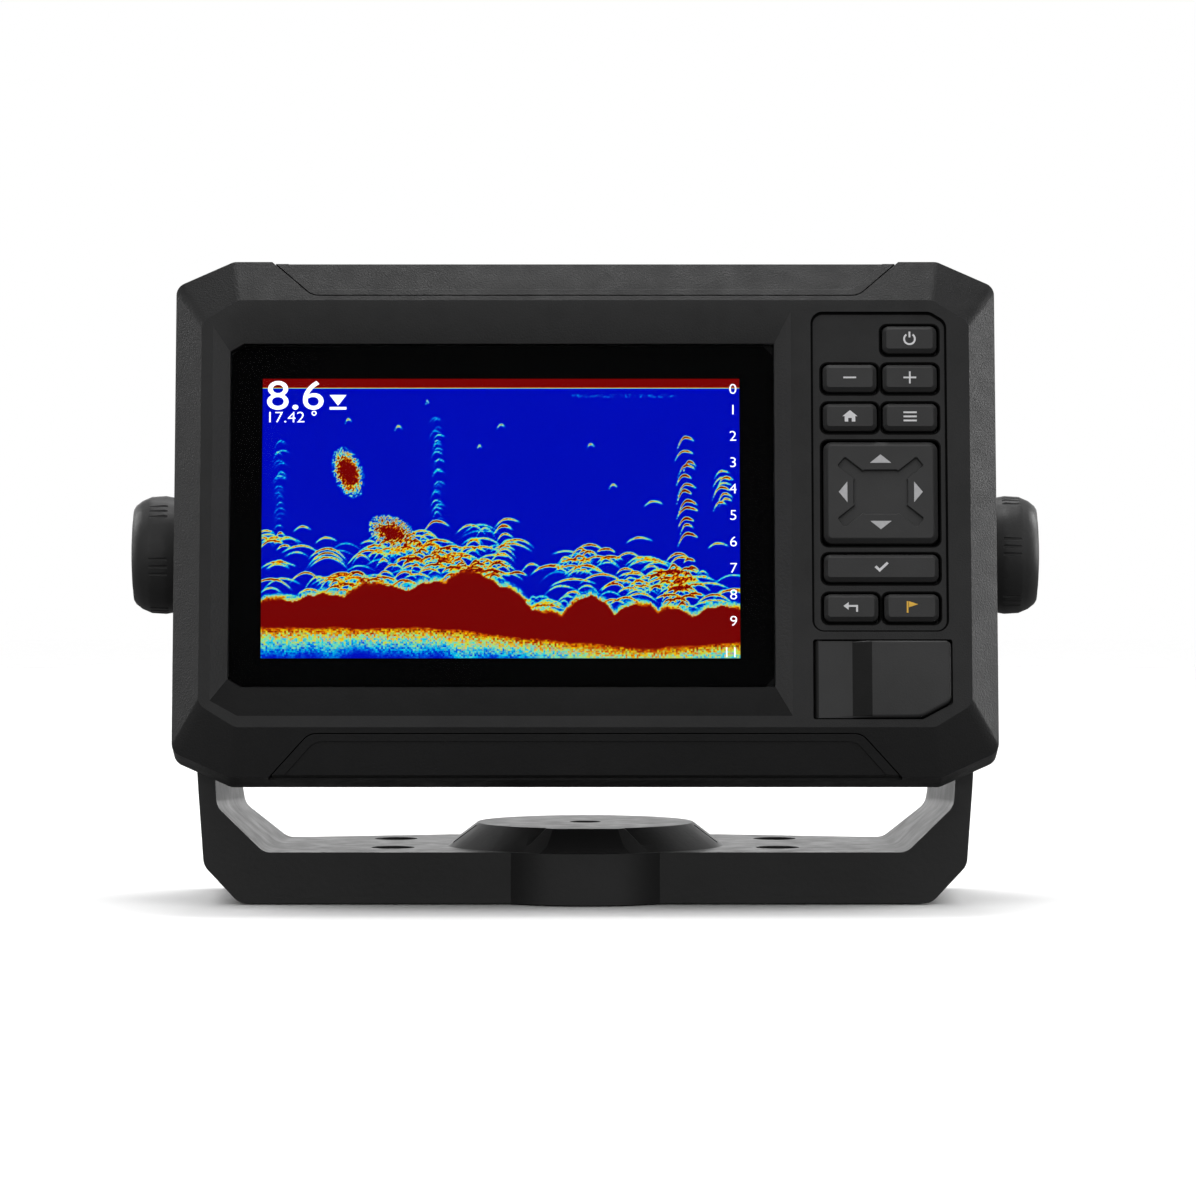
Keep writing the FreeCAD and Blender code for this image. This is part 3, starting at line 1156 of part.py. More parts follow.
def cut_bail_holes(body):
    """Four screw holes with counterbores, the swivel's well and bore, slots and bays."""
    for across in (-dims.hole_across, dims.hole_across):
        for along in (-dims.hole_front, dims.hole_rear):
            sketch = draw_circle(new_sketch(body, PLAN, dims.base_height), across, along, dims.hole_radius)
            pocket(body, sketch, dims.base_height)
            sketch = draw_circle(new_sketch(body, PLAN, dims.base_height), across, along,
                                 dims.counterbore_radius)
            pocket(body, sketch, dims.counterbore_depth)
    room = draw_circle(new_sketch(body, PLAN, 0.0), 0.0, 0.0, dims.swivel_radius + dims.swivel_gap)
    pocket(body, room, dims.swivel_height + dims.swivel_gap, backwards=True)
    well = draw_circle(new_sketch(body, PLAN, dims.dome_top), 0.0, 0.0, dims.swivel_well)
    pocket(body, well, dims.dome_top - dims.swivel_seat)
    bore = draw_circle(new_sketch(body, PLAN, dims.dome_top), 0.0, 0.0, dims.swivel_bore)
    pocket(body, bore, dims.dome_top)
    half = dims.slot_width / 2
    for side in (-1, 1):
        near, far = dims.slot_inner * side, dims.slot_outer * side
        left, right = (near, far) if side > 0 else (far, near)
        slot = rectangle(left, right, -dims.slot_along - half, half - dims.slot_along)
        sketch = draw_polygon(new_sketch(body, PLAN, dims.dome_top), slot)
        pocket(body, sketch, dims.slot_drop)
        for row in (-1, 1):
            low = dims.bay_gap / 2 if row > 0 else -dims.bay_gap / 2 - dims.bay_length
            start = dims.bay_start * side
            end = start + dims.rib_bay * side
            left, right = (start, end) if side > 0 else (end, start)
            bay = rectangle(left, right, low, low + dims.bay_length)
            sketch = draw_polygon(new_sketch(body, PLAN, 0.0), bay, dims.door_round)
            pocket(body, sketch, dims.bay_depth, backwards=True)


def make_swivel():
    """The disc that is screwed down, with the centre screw that holds the bail on it."""
    base = new_body("swivel_base")
    pad(base, draw_circle(new_sketch(base, PLAN, 0.0), 0.0, 0.0, dims.swivel_radius), dims.swivel_height)
    for turn in (90, 210, 330):
        across = dims.base_screw_circle * math.cos(math.radians(turn))
        along = dims.base_screw_circle * math.sin(math.radians(turn))
        sketch = draw_circle(new_sketch(base, PLAN, dims.swivel_height), across, along,
                             dims.base_screw_radius)
        pocket(base, sketch, dims.swivel_height)
        sketch = draw_circle(new_sketch(base, PLAN, dims.swivel_height), across, along,
                             dims.base_sink_radius)
        pocket(base, sketch, dims.counterbore_depth)
    bore = draw_circle(new_sketch(base, PLAN, dims.swivel_height), 0.0, 0.0, dims.swivel_bore)
    pocket(base, bore, dims.swivel_bore_depth)
    washer_low = dims.swivel_seat + dims.swivel_play
    head_low = washer_low + dims.swivel_washer
    screw = new_body("swivel_screw")
    pad(screw, draw_circle(new_sketch(screw, PLAN, head_low), 0.0, 0.0, dims.swivel_head_radius),
        dims.swivel_head_height)
    shank = draw_circle(new_sketch(screw, PLAN, dims.shank_low), 0.0, 0.0,
                        dims.swivel_screw_radius)
    pad(screw, shank, head_low - dims.shank_low)
    drive = draw_polygon(new_sketch(screw, PLAN, head_low + dims.swivel_head_height), octagon(
        dims.drive_half, dims.drive_half, dims.drive_cut, dims.drive_cut))
    pocket(screw, drive, dims.drive_depth)
    washer = new_body("swivel_washer")
    ring = draw_circle(new_sketch(washer, PLAN, washer_low), 0.0, 0.0, dims.swivel_head_radius)
    pad(washer, ring, dims.swivel_washer)
    hole = draw_circle(new_sketch(washer, PLAN, washer_low), 0.0, 0.0,
                       dims.swivel_screw_radius)
    pocket(washer, hole, dims.swivel_washer, backwards=True)


# ---------------------------------------------------------------- build and write

def build():
    spans = key_spans()
    make_bezel()
    make_trim_cap("top_trim_cap", 1)
    make_trim_cap("bottom_trim_cap", -1)
    make_screen()
    for name, span in spans.items():
        if name == "direction_pad":
            make_direction_pad(span)
        else:
            make_key(name, span)
    make_keypad_back(spans)
    make_card_door()
    make_rear_housing()
    make_housing_seal()
    make_housing_screws()
    make_electronics()
    make_cradle()
    make_cradle_contacts()
    make_socket("power_data_socket", -1)
    make_socket("transducer_socket", 1)
    make_lever()
    make_knob("left", -1)
    make_knob("right", 1)
    make_bail()
    make_swivel()
    doc.recompute()


def sub_parts():
    bodies = [item for item in doc.Objects if item.TypeId == "PartDesign::Body"]
    return bodies + [item for item in doc.Objects if item.TypeId == "Part::Compound"]


def check():
    for item in doc.Objects:
        if "Invalid" in item.State or "Error" in item.State:
            raise RuntimeError("failed feature: " + item.Name)
    for item in sub_parts():
        if item.Shape.isNull() or not item.Shape.isValid():
            raise RuntimeError("bad shape: " + item.Label)


def write():
    os.makedirs("parts", exist_ok=True)
    for item in sub_parts():
        item.Shape.exportStep("parts/%s.step" % item.Label)


build()
check()
write()
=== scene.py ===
import json
import math

import bmesh
import bpy
import numpy as np
from mathutils import Matrix, Vector


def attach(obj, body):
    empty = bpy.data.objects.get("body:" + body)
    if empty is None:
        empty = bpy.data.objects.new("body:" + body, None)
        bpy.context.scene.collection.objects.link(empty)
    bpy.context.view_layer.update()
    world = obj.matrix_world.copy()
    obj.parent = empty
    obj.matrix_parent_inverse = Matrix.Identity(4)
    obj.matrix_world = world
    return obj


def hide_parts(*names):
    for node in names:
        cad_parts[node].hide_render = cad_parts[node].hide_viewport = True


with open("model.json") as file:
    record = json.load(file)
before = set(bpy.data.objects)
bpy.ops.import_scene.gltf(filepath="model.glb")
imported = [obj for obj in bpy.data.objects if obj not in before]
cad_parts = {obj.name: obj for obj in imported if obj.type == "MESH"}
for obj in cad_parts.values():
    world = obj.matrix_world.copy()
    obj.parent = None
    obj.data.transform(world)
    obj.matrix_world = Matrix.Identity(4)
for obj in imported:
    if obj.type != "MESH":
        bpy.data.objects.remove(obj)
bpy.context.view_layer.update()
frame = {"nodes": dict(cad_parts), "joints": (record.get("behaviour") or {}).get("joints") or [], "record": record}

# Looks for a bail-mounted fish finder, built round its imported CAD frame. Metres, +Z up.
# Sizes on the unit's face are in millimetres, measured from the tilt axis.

MM = 0.001
BODY_OF = {node: body for body, nodes in frame["record"]["behaviour"]["bodies"].items() for node in nodes}
JOINTS = {joint["name"]: joint for joint in frame["joints"]}
SLOT_OF = {part["node"]: part["material_slot"] for part in frame["record"]["subparts"]}

# The display unit's own frame: right, out of the face, and up the face, from the tilt axis.
RIGHT = Vector((1, 0, 0))
OUT = Vector(JOINTS["unit_release"]["axis"]).normalized()
UP = OUT.cross(RIGHT)
TILT = Vector(JOINTS["unit_tilt"]["pos_m"])
UNIT = Matrix.Translation(TILT) @ Matrix((RIGHT, -OUT, UP)).transposed().to_4x4()


def along_unit(vector):
    """How far a vector goes right, out and up."""
    return tuple(vector.dot(axis) for axis in (RIGHT, OUT, UP))


def unit_box(node):
    """Lowest and highest (right, out, up) of a node, in metres from the tilt axis."""
    spots = [along_unit(vertex.co - TILT) for vertex in frame["nodes"][node].data.vertices]
    return [Vector([pick(measures) for measures in zip(*spots)]) for pick in (min, max)]


def unit_spot(right, out, up):
    """A spot given in millimetres right, out and up from the tilt axis."""
    return UNIT @ Matrix.Translation(Vector((right, -out, up)) * MM)


LENS_LOW, LENS_HIGH = unit_box("display_lens")
BEZEL_LOW, BEZEL_HIGH = unit_box("front_bezel")
RING_FACE = BEZEL_HIGH.y
BEZEL_MIDDLE = (BEZEL_LOW.z + BEZEL_HIGH.z) / 2


# ------------------------------------------------------------------ materials

class Wiring:
    """A node tree, with small helpers that add nodes and link them."""

    def __init__(self, tree):
        self.tree = tree

    def node(self, kind, **settings):
        made = self.tree.nodes.new(kind)
        for name, value in settings.items():
            setattr(made, name, value)
        return made

    def link(self, source, target):
        self.tree.links.new(source, target)

    def maths(self, operation, first, second):
        """One operation on two values, each a number or the output of another node."""
        made = self.node("ShaderNodeMath", operation=operation)
        for socket, value in zip(made.inputs, (first, second)):
            if isinstance(value, float):
                socket.default_value = value
            else:
                self.link(value, socket)
        return made.outputs["Value"]

    def product(self, first, *others):
        """All the values multiplied together."""
        for other in others:
            first = self.maths("MULTIPLY", first, other)
        return first

    def remap(self, value, start, end, low, high, **settings):
        """Takes a value that runs from start to end to one that runs from low to high."""
        made = self.node("ShaderNodeMapRange", **settings)
        for socket, number in (("From Min", start), ("From Max", end), ("To Min", low), ("To Max", high)):
            made.inputs[socket].default_value = number
        self.link(value, made.inputs["Value"])
        return made.outputs["Result"]


class Shader(Wiring):
    """A node material with one Principled shader, patterned in the object's own space."""

    # Where nearly all of the noise lies, and the level at which a speckle's shake has died away.
    NOISE_LOW, NOISE_HIGH = 0.3, 0.7
    NO_SHAKE_LEVEL = 1.12

    def __init__(self, name, **sockets):
        self.material = bpy.data.materials.new(name)
        self.material.use_nodes = True
        super().__init__(self.material.node_tree)
        self.main = self.tree.nodes["Principled BSDF"]
        for socket, value in sockets.items():
            self.main.inputs[socket.replace("_", " ")].default_value = value
        self.place = self.node("ShaderNodeTexCoord").outputs["Object"]

    def noise(self, scale, detail=2.0, roughness=0.5):
        texture = self.node("ShaderNodeTexNoise")
        texture.inputs["Scale"].default_value = scale
        texture.inputs["Detail"].default_value = detail
        texture.inputs["Roughness"].default_value = roughness
        self.link(self.place, texture.inputs["Vector"])
        return texture.outputs["Fac"]

    def ramp(self, value, stops):
        ramp = self.node("ShaderNodeValToRGB")
        elements = ramp.color_ramp.elements
        while len(elements) < len(stops):
            elements.new(0.5)
        for element, (position, colour) in zip(elements, stops):
            element.position = position
            element.color = (*colour, 1.0)
        self.link(value, ramp.inputs["Fac"])
        return ramp.outputs["Color"]

    def speckle(self, level_name, amount_name, cell, strength):
        """A vertex value shaken by random cells; the shake is strongest at middling levels."""
        level = self.node("ShaderNodeAttribute", attribute_name=level_name).outputs["Fac"]
        amount = self.node("ShaderNodeAttribute", attribute_name=amount_name).outputs["Fac"]
        snap = self.node("ShaderNodeVectorMath", operation="SNAP")
        snap.inputs[1].default_value = (cell, cell, cell)
        self.link(self.place, snap.inputs[0])
        cells = self.node("ShaderNodeTexWhiteNoise", noise_dimensions="3D")
        self.link(snap.outputs["Vector"], cells.inputs["Vector"])
        shake = self.maths("SUBTRACT", cells.outputs["Value"], 0.5)
        room = self.product(level, self.maths("SUBTRACT", self.NO_SHAKE_LEVEL, level))
        return self.maths("ADD", level, self.product(shake, room, amount, strength))

    def vary_colour(self, colour, amount, scale):
        darker = [channel * (1 - amount) for channel in colour]
        lighter = [channel * (1 + amount) for channel in colour]
        stops = [(self.NOISE_LOW, darker), (self.NOISE_HIGH, lighter)]
        self.link(self.ramp(self.noise(scale), stops), self.main.inputs["Base Color"])

    def vary_roughness(self, low, high, scale):
        rough = self.remap(self.noise(scale, detail=3.0), self.NOISE_LOW, self.NOISE_HIGH, low, high)
        self.link(rough, self.main.inputs["Roughness"])

    def bump(self, height, strength, distance):
        bump = self.node("ShaderNodeBump")
        bump.inputs["Strength"].default_value = strength
        bump.inputs["Distance"].default_value = distance
        self.link(height, bump.inputs["Height"])
        self.link(bump.outputs["Normal"], self.main.inputs["Normal"])


def moulded(name, colour, roughness, grain=0.35, grain_scale=1500.0, **sockets):
    """Moulded plastic: a fine spark-eroded grain, faint mottling, uneven gloss."""
    shader = Shader(name, **sockets)
    shader.vary_colour(colour, amount=0.12, scale=35.0)
    shader.vary_roughness(roughness - 0.05, roughness + 0.06, scale=220.0)
    shader.bump(shader.noise(grain_scale, detail=3.0, roughness=0.6), strength=grain, distance=0.12 * MM)
    return shader.material


def metal(name, colour, roughness):
    """Metal with a faint, fine unevenness in its shine."""
    shader = Shader(name, Metallic=1.0)
    shader.vary_colour(colour, amount=0.08, scale=60.0)
    shader.vary_roughness(roughness - 0.06, roughness + 0.08, scale=900.0)
    shader.bump(shader.noise(1800.0), strength=0.12, distance=0.04 * MM)
    return shader.material


def laminate(name):
    """Green solder mask with faint copper pours under it."""
    shader = Shader(name, Coat_Weight=0.4)
    cells = shader.node("ShaderNodeTexVoronoi", feature="F1", distance="CHEBYCHEV")
    cells.inputs["Scale"].default_value = 260.0
    shader.link(shader.place, cells.inputs["Vector"])
    over_copper, over_board = (0.02, 0.17, 0.07), (0.01, 0.09, 0.04)
    green = shader.ramp(cells.outputs["Distance"], [(0.25, over_copper), (0.4, over_board)])
    shader.link(green, shader.main.inputs["Base Color"])
    shader.vary_roughness(0.3, 0.42, scale=300.0)
    return shader.material


def clear_glass(name):
    """A coated window: clear, with almost no mirror image in it."""
    shader = Shader(name, Transmission_Weight=1.0, IOR=1.08, Base_Color=(0.93, 0.95, 0.96, 1.0))
    shader.vary_roughness(0.0, 0.03, scale=30.0)
    return shader.material


def printed(name, colour, glow=0.0, shine=0.5):
    """Ink: a flat print with a little grain, lit from behind where it glows."""
    shader = Shader(name, Roughness=0.55, Specular_IOR_Level=shine)
    shader.vary_colour(colour, amount=0.05, scale=900.0)
    if glow:
        shader.main.inputs["Emission Color"].default_value = (*colour, 1)
        shader.main.inputs["Emission Strength"].default_value = glow
    return shader.material


BLACK = (0.011, 0.011, 0.0113)
MATERIALS = {
    "housing_plastic": moulded("housing_plastic", BLACK, 0.46, grain=0.75, grain_scale=2400.0),
    "trim_plastic": moulded("trim_plastic", BLACK, 0.44, grain=0.75, grain_scale=2400.0),
    "bail_plastic": moulded("bail_plastic", (0.031, 0.031, 0.0313), 0.40, grain=0.3, grain_scale=900.0),
    "knob_plastic": moulded("knob_plastic", (0.036, 0.036, 0.0363), 0.42, grain=0.25,
                            Specular_IOR_Level=0.3),
    "key_rubber": moulded("key_rubber", (0.028, 0.028, 0.0283), 0.5, grain=0.25, grain_scale=2200.0),
    "door_plastic": moulded("door_plastic", (0.026, 0.026, 0.0263), 0.45, grain=0.25, grain_scale=2200.0),
    # The seal shows only in the key gaps. Its darker, duller rubber is partly its own black and partly painted
    # shade there.
    "seal_rubber": moulded("seal_rubber", (0.006, 0.006, 0.006), 0.7, grain=0.4, Specular_IOR_Level=0.2),
    "lens_glass": clear_glass("lens_glass"),
    "screen": printed("screen_edge", (0.002, 0.002, 0.0024), shine=0.0),
    "backlight_metal": metal("backlight_metal", (0.55, 0.55, 0.56), 0.35),
    "board_laminate": laminate("board_laminate"),
    "ceramic": moulded("ceramic", (0.62, 0.58, 0.5), 0.5, grain=0.2),
    "moulded_black": moulded("moulded_black", (0.02, 0.02, 0.02), 0.5),
    "socket_plastic": moulded("socket_plastic", (0.022, 0.022, 0.023), 0.42, grain=0.3),
    "stainless": metal("stainless", (0.6, 0.6, 0.61), 0.28),
    "brass": metal("brass", (0.75, 0.55, 0.24), 0.3),
    "nylon": moulded("nylon", (0.05, 0.05, 0.05), 0.5, grain=0.15),
}
BLACKENED_STEEL = metal("blackened_steel", (0.03, 0.03, 0.031), 0.5)
LEGEND = printed("legend_ink", (0.66, 0.66, 0.67))
LEGEND_ARROW = printed("arrow_ink", (0.46, 0.46, 0.47))
LEGEND_GOLD = printed("legend_gold", (0.80, 0.46, 0.05))
BORDER_INK = printed("border_ink", (0.0015, 0.0015, 0.0016), shine=0.0)
READOUT_WHITE = printed("readout_white", (0.9, 0.92, 1.0), glow=1.0, shine=0.0)
# Near black and dull: painted shade for the key wells, trim pockets, trim caps' steps and the keypad's step and
# wells.
PAINTED_SHADE = moulded("painted_shade_black", (0.0015, 0.0015, 0.0015), 0.7, grain=0.3, Specular_IOR_Level=0.1)
# Painted shade: the slope below the display is darker than the housing it belongs to.
LOWER_SLOPE_SHADE = moulded("lower_slope_shade", (0.006, 0.006, 0.0062), 0.6, grain=1.0, grain_scale=1500.0,
                      Specular_IOR_Level=0.28)
# Painted highlight: the side slopes beside the display are lighter than the housing they belong to.
SIDE_SLOPE_LIGHT = moulded("side_slope_light", (0.029, 0.029, 0.0293), 0.5, grain=1.0, grain_scale=1500.0)
# Painted shade for the door's finger recess and hinge edge, darker than the door itself.
DOOR_RECESS_SHADE = moulded("door_recess", (0.006, 0.006, 0.006), 0.55, grain=0.25, grain_scale=2200.0,
                      Specular_IOR_Level=0.3)


def paint(piece, material):
    """One material all over, in place of any that the piece has."""
    piece.data.materials.clear()
    piece.data.materials.append(material)


def paint_frame():
    """Every CAD node in the finish of its slot; the door's pin is blackened."""
    for node, piece in frame["nodes"].items():
        paint(piece, MATERIALS[SLOT_OF[node]])
    paint(frame["nodes"]["card_door_pin"], BLACKENED_STEEL)


# ------------------------------------------------------------------ pieces

def add_mesh(name, bm, material, body, matrix=None):
    """Turn a bmesh into a piece that rides on a CAD body."""
    mesh = bpy.data.meshes.new(name)
    bm.normal_update()
    bm.to_mesh(mesh)
    bm.free()
    piece = bpy.data.objects.new(name, mesh)
    bpy.context.scene.collection.objects.link(piece)
    if matrix is not None:
        piece.matrix_world = matrix
    paint(piece, material)
    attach(piece, body)
    return piece


def artwork(name, outlines, material, body, spot, thick=0.04):
    """Thin raised shapes, each outline a loop of (right, up) in mm about the spot."""
    bm = bmesh.new()
    for outline in outlines:
        back, front = [[bm.verts.new((x * MM, y, z * MM)) for x, z in outline]
                       for y in (0.0, -thick * MM)]
        bm.faces.new(front)
        bm.faces.new(back[::-1])
        for i in range(len(outline)):
            bm.faces.new((front[i], front[i - 1], back[i - 1], back[i]))
    bmesh.ops.recalc_face_normals(bm, faces=bm.faces)
    return add_mesh(name, bm, material, body, spot)


def welded(node):
    """A CAD node's mesh with its flat faces joined up, ready for rounding."""
    same_spot, flat_within = 0.001 * MM, math.radians(0.4)
    bm = bmesh.new()
    bm.from_mesh(frame["nodes"][node].data)
    bmesh.ops.remove_doubles(bm, verts=bm.verts, dist=same_spot)
    bmesh.ops.dissolve_limit(bm, angle_limit=flat_within, verts=bm.verts, edges=bm.edges)
    return bm


def stand_in(node, bm, sharp_above):
    """A piece that takes a CAD node's place, smooth except where it turns by more than an angle."""
    piece = add_mesh(node + "_soft", bm, MATERIALS[SLOT_OF[node]], BODY_OF[node])
    piece.data.polygons.foreach_set("use_smooth", [True] * len(piece.data.polygons))
    piece.data.set_sharp_from_angle(angle=math.radians(sharp_above))
    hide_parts(node)
    return piece


def soften(node, width):
    """A copy of a CAD node with its sharp edges rounded off, standing in for it."""
    piece = stand_in(node, welded(node), sharp_above=40.0)
    bevel = piece.modifiers.new("edges", "BEVEL")
    bevel.width = width
    bevel.segments = 3
    bevel.limit_method = "ANGLE"
    bevel.angle_limit = math.radians(24.0)
    bevel.miter_outer = "MITER_ARC"
    weight = piece.modifiers.new("normals", "WEIGHTED_NORMAL")
    weight.keep_sharp = True
    return piece


def paint_bezel(piece):
    """The slope below the display gets painted shade and the side slopes a painted highlight, by the way they
    face; pocket and key well walls get painted shade.
    """
    for material in (LOWER_SLOPE_SHADE, SIDE_SLOPE_LIGHT, PAINTED_SHADE):
        piece.data.materials.append(material)
    lower_slope_shade, side_slope_light, dark = 1, 2, 3
    slope_left, slope_right = LENS_LOW.x - 6 * MM, LENS_HIGH.x + 4 * MM
    slope_back, slope_front = LENS_HIGH.y, LENS_HIGH.y + 2 * MM
    wells_left, wells_right, wells_back = LENS_HIGH.x + 7 * MM, 83 * MM, LENS_HIGH.y - 1.5 * MM
    pocket_near, pocket_far, pocket_back = 50 * MM, 59.5 * MM, LENS_HIGH.y - 6.5 * MM
    for face in piece.data.polygons:
        right, out, up = along_unit(face.normal)
        beside, ahead, above = along_unit(face.center - TILT)
        # Slope faces below the lens get painted shade; side slope faces get a painted highlight.
        if out > 0.8 and slope_back < ahead < slope_front and beside < slope_right:
            if up > 0.25 and above < LENS_LOW.z:
                face.material_index = lower_slope_shade
            elif abs(right) > 0.4 and beside > slope_left:
                face.material_index = side_slope_light
        # Walls in the key wells and the trim pockets get painted shade.
        elif abs(out) < 0.5:
            in_wells = wells_left < beside < wells_right and ahead > wells_back
            in_pocket = pocket_near < abs(above - BEZEL_MIDDLE) < pocket_far and ahead > pocket_back
            if in_wells or in_pocket:
                face.material_index = dark


def paint_cap(piece):
    """The edges and the inner step of a trim cap get painted shade."""
    piece.data.materials.append(PAINTED_SHADE)
    rim = 59 * MM
    faces = piece.data.polygons
    main = max(faces, key=lambda face: face.area if 0.5 < face.normal.dot(OUT) < 0.95 else 0)
    for face in faces:
        inside_rim = abs((face.center - TILT).dot(UP) - BEZEL_MIDDLE) < rim
        # Faces that turn away from the cap's face, inside its rim, get painted shade.
        if inside_rim and face.normal.dot(main.normal) < 0.5:
            face.material_index = 1


def add_dark_joints():
    """Painted shade in the keypad: near-black strips along the foot of its step, where the plate meets the bezel,
    and round the mouth of each key well.
    """
    step_shade, well_shade, proud, thick = 0.5, 0.34, 0.01, 0.02
    slack = 0.05 * MM
    keypad_left = 50 * MM
    above_door = unit_box("card_door")[1].z + 1.5 * MM
    plate = RING_FACE - 1.0 * MM
    mesh = frame["nodes"]["front_bezel"].data
    strips = []
    for face in mesh.polygons:
        right, out, up = along_unit(face.normal)
        beside, _, above = along_unit(face.center - TILT)
        if abs(out) > 0.1 or beside < keypad_left or above < above_door:
            continue
        corners = [along_unit(mesh.vertices[i].co - TILT) for i in face.vertices]
        edge = [(x, z) for x, y, z in corners if abs(y - plate) < slack]
        if len(edge) != 2:
            continue
        is_step = abs(max(y for x, y, z in corners) - RING_FACE) < slack
        start, end = [Vector(corner) / MM for corner in edge]
        aside = Vector((right, up)) * (step_shade if is_step else -well_shade)
        strips.append([start, end, end + aside, start + aside])
    # The strips are sheets of painted shade, laid just in front of the keypad plate.
    artwork("keypad_painted_shade", strips, PAINTED_SHADE, "unit",
            unit_spot(0, plate / MM + proud, 0), thick)


def soften_door():
    """The card door with round corners, a rolled rim, and painted shade in its finger recess and along its hinge
    edge.
    """
    corner, rim = 1.3 * MM, 0.75 * MM
    low, high = unit_box("card_door")
    face_at = high.y - 2.0 * MM
    corners_from, rim_from, hinge_shade_to = low.x + 10 * MM, low.x + 1.2 * MM, low.x + 0.95 * MM

    def at_front(vertex):
        return (vertex.co - TILT).dot(OUT) > face_at

    def beside(vertex):
        return (vertex.co - TILT).dot(RIGHT)

    def is_corner(edge):
        """Runs from back to front where the outline turns, away from the hinge."""
        start, end = edge.verts
        return (edge.is_manifold and (at_front(start) or at_front(end))
                and abs((end.co - start.co).normalized().dot(OUT)) > 0.99
                and edge.calc_face_angle() > 0.35 and beside(start) > corners_from)

    def is_rim(edge):
        """Lies between the door's face and one of its sides, away from the hinge."""
        facing = [face.normal.dot(OUT) for face in edge.link_faces]
        return (edge.is_manifold and all(at_front(vertex) for vertex in edge.verts)
                and max(facing) > 0.9 and min(abs(out) for out in facing) < 0.3
                and min(beside(vertex) for vertex in edge.verts) > rim_from)

    def is_dark(face):
        """Falls away into the finger recess, or is the edge by the hinge: both get painted shade."""
        in_recess = face.normal.dot(OUT) > 0.9 and face.normal.dot(RIGHT) < -0.1
        return in_recess or (face.calc_center_median() - TILT).dot(RIGHT) < hinge_shade_to

    bm = welded("card_door")
    for wanted, width, steps in ((is_corner, corner, 6), (is_rim, rim, 4)):
        edges = [edge for edge in bm.edges if wanted(edge)]
        bmesh.ops.bevel(bm, geom=edges, offset=width, segments=steps, profile=0.5, affect="EDGES")
        bm.normal_update()
    # Recess faces and the hinge edge take the painted shade material.
    dark = [int(is_dark(face)) for face in bm.faces]
    piece = stand_in("card_door", bm, sharp_above=35.0)
    piece.data.materials.append(DOOR_RECESS_SHADE)
    piece.data.polygons.foreach_set("material_index", dark)


# ------------------------------------------------------------------ legends

def stroke(start, end, width):
    """A straight bar between two points, as an outline."""
    start, end = Vector(start), Vector(end)
    side = (end - start).normalized().orthogonal() * width / 2
    return [start - side, end - side, end + side, start + side]


def arc_band(radius, width, first, last):
    """Part of a ring, cut into bars that meet end to end; angles in degrees."""
    steps = 28
    turns = [math.radians(first + (last - first) * i / steps) for i in range(steps + 1)]
    spokes = [Vector((math.cos(turn), math.sin(turn))) for turn in turns]
    inner, outer = radius - width / 2, radius + width / 2
    return [[a * inner, a * outer, b * outer, b * inner] for a, b in zip(spokes, spokes[1:])]


THICK, THIN = 0.42, 0.38
ICONS = {
    "power_key": arc_band(1.22, THICK, 125, 415) + [stroke((0, 0.35), (0, 1.7), THICK)],
    "minus_key": [stroke((-1.45, 0), (1.45, 0), THIN)],
    "plus_key": [stroke((-1.45, 0), (1.45, 0), THIN), stroke((0, THIN / 2), (0, 1.4), THIN),
                 stroke((0, -1.4), (0, -THIN / 2), THIN)],
    "home_key": [[(-1.7, 0.05), (0, 1.45), (1.7, 0.05), (1.2, 0.05), (1.2, -1.2), (0.4, -1.2),
                  (0.4, -0.35), (-0.4, -0.35), (-0.4, -1.2), (-1.2, -1.2), (-1.2, 0.05)]],
    "menu_key": [stroke((-1.5, z), (1.5, z), 0.4) for z in (0.95, 0, -0.95)],
    "select_key": [[(-1.5, 0.05), (-1.1, 0.45), (-0.4, -0.25), (1.25, 1.3), (1.65, 0.9), (-0.4, -1.05)]],
    "back_key": [[(-1.75, 0.25), (-0.6, 1.15), (-0.6, 0.47), (1.5, 0.47), (1.5, -1.1),
                  (1.06, -1.1), (1.06, 0.03), (-0.6, 0.03), (-0.6, -0.65)]],
    "mark_key": [stroke((-0.95, -1.3), (-0.95, 1.35), THIN), [(-0.66, 1.35), (1.45, 0.65), (-0.66, -0.05)]],
}


def pad_arrows():
    """Four arrowheads that point away from the middle of the direction pad."""
    reach_up, reach_aside, half, tall = 7.7, 8.5, 2.4, 1.95
    arrows = []
    for turn, reach in enumerate((reach_up, reach_aside) * 2):
        spin = Matrix.Rotation(math.radians(90 * turn), 2)
        tip, foot = reach + tall / 2, reach - tall / 2
        arrows.append([spin @ Vector(point) for point in ((-half, foot), (half, foot), (0, tip))])
    return arrows


def add_legend(node, outlines, ink):
    """Shapes printed at the middle of a key's face."""
    low, high = unit_box(node)
    middle = (low + high) / 2 / MM
    artwork(node + "_legend", outlines, ink, BODY_OF[node],
            unit_spot(middle.x, high.y / MM, middle.z))


def add_legends():
    """A symbol on every key, and arrowheads on the direction pad."""
    for node, outlines in ICONS.items():
        add_legend(node, outlines, LEGEND_GOLD if node == "mark_key" else LEGEND)
    add_legend("direction_pad", pad_arrows(), LEGEND_ARROW)


# ------------------------------------------------------------------ the sonar picture

# The lit part of the panel, in millimetres: width and height, centre (right, up), and how far out.
# Its place is rounded to a micrometre, so that the last digits of the frame don't stir the speckle.
LIT = (108.0, 64.8)
PANEL_LOW, PANEL_HIGH = unit_box("lcd_panel")
PANEL_MIDDLE = (PANEL_LOW + PANEL_HIGH) / 2 / MM
LIT_CENTRE = (round(PANEL_MIDDLE.x, 3), round(PANEL_MIDDLE.z, 3))
LIT_OUT = round(PANEL_HIGH.y / MM + 0.03, 3)
# How many points carry the picture, along and up, and the size of one speckle.
GRID = (404, 244)
CELL = 0.42 * MM

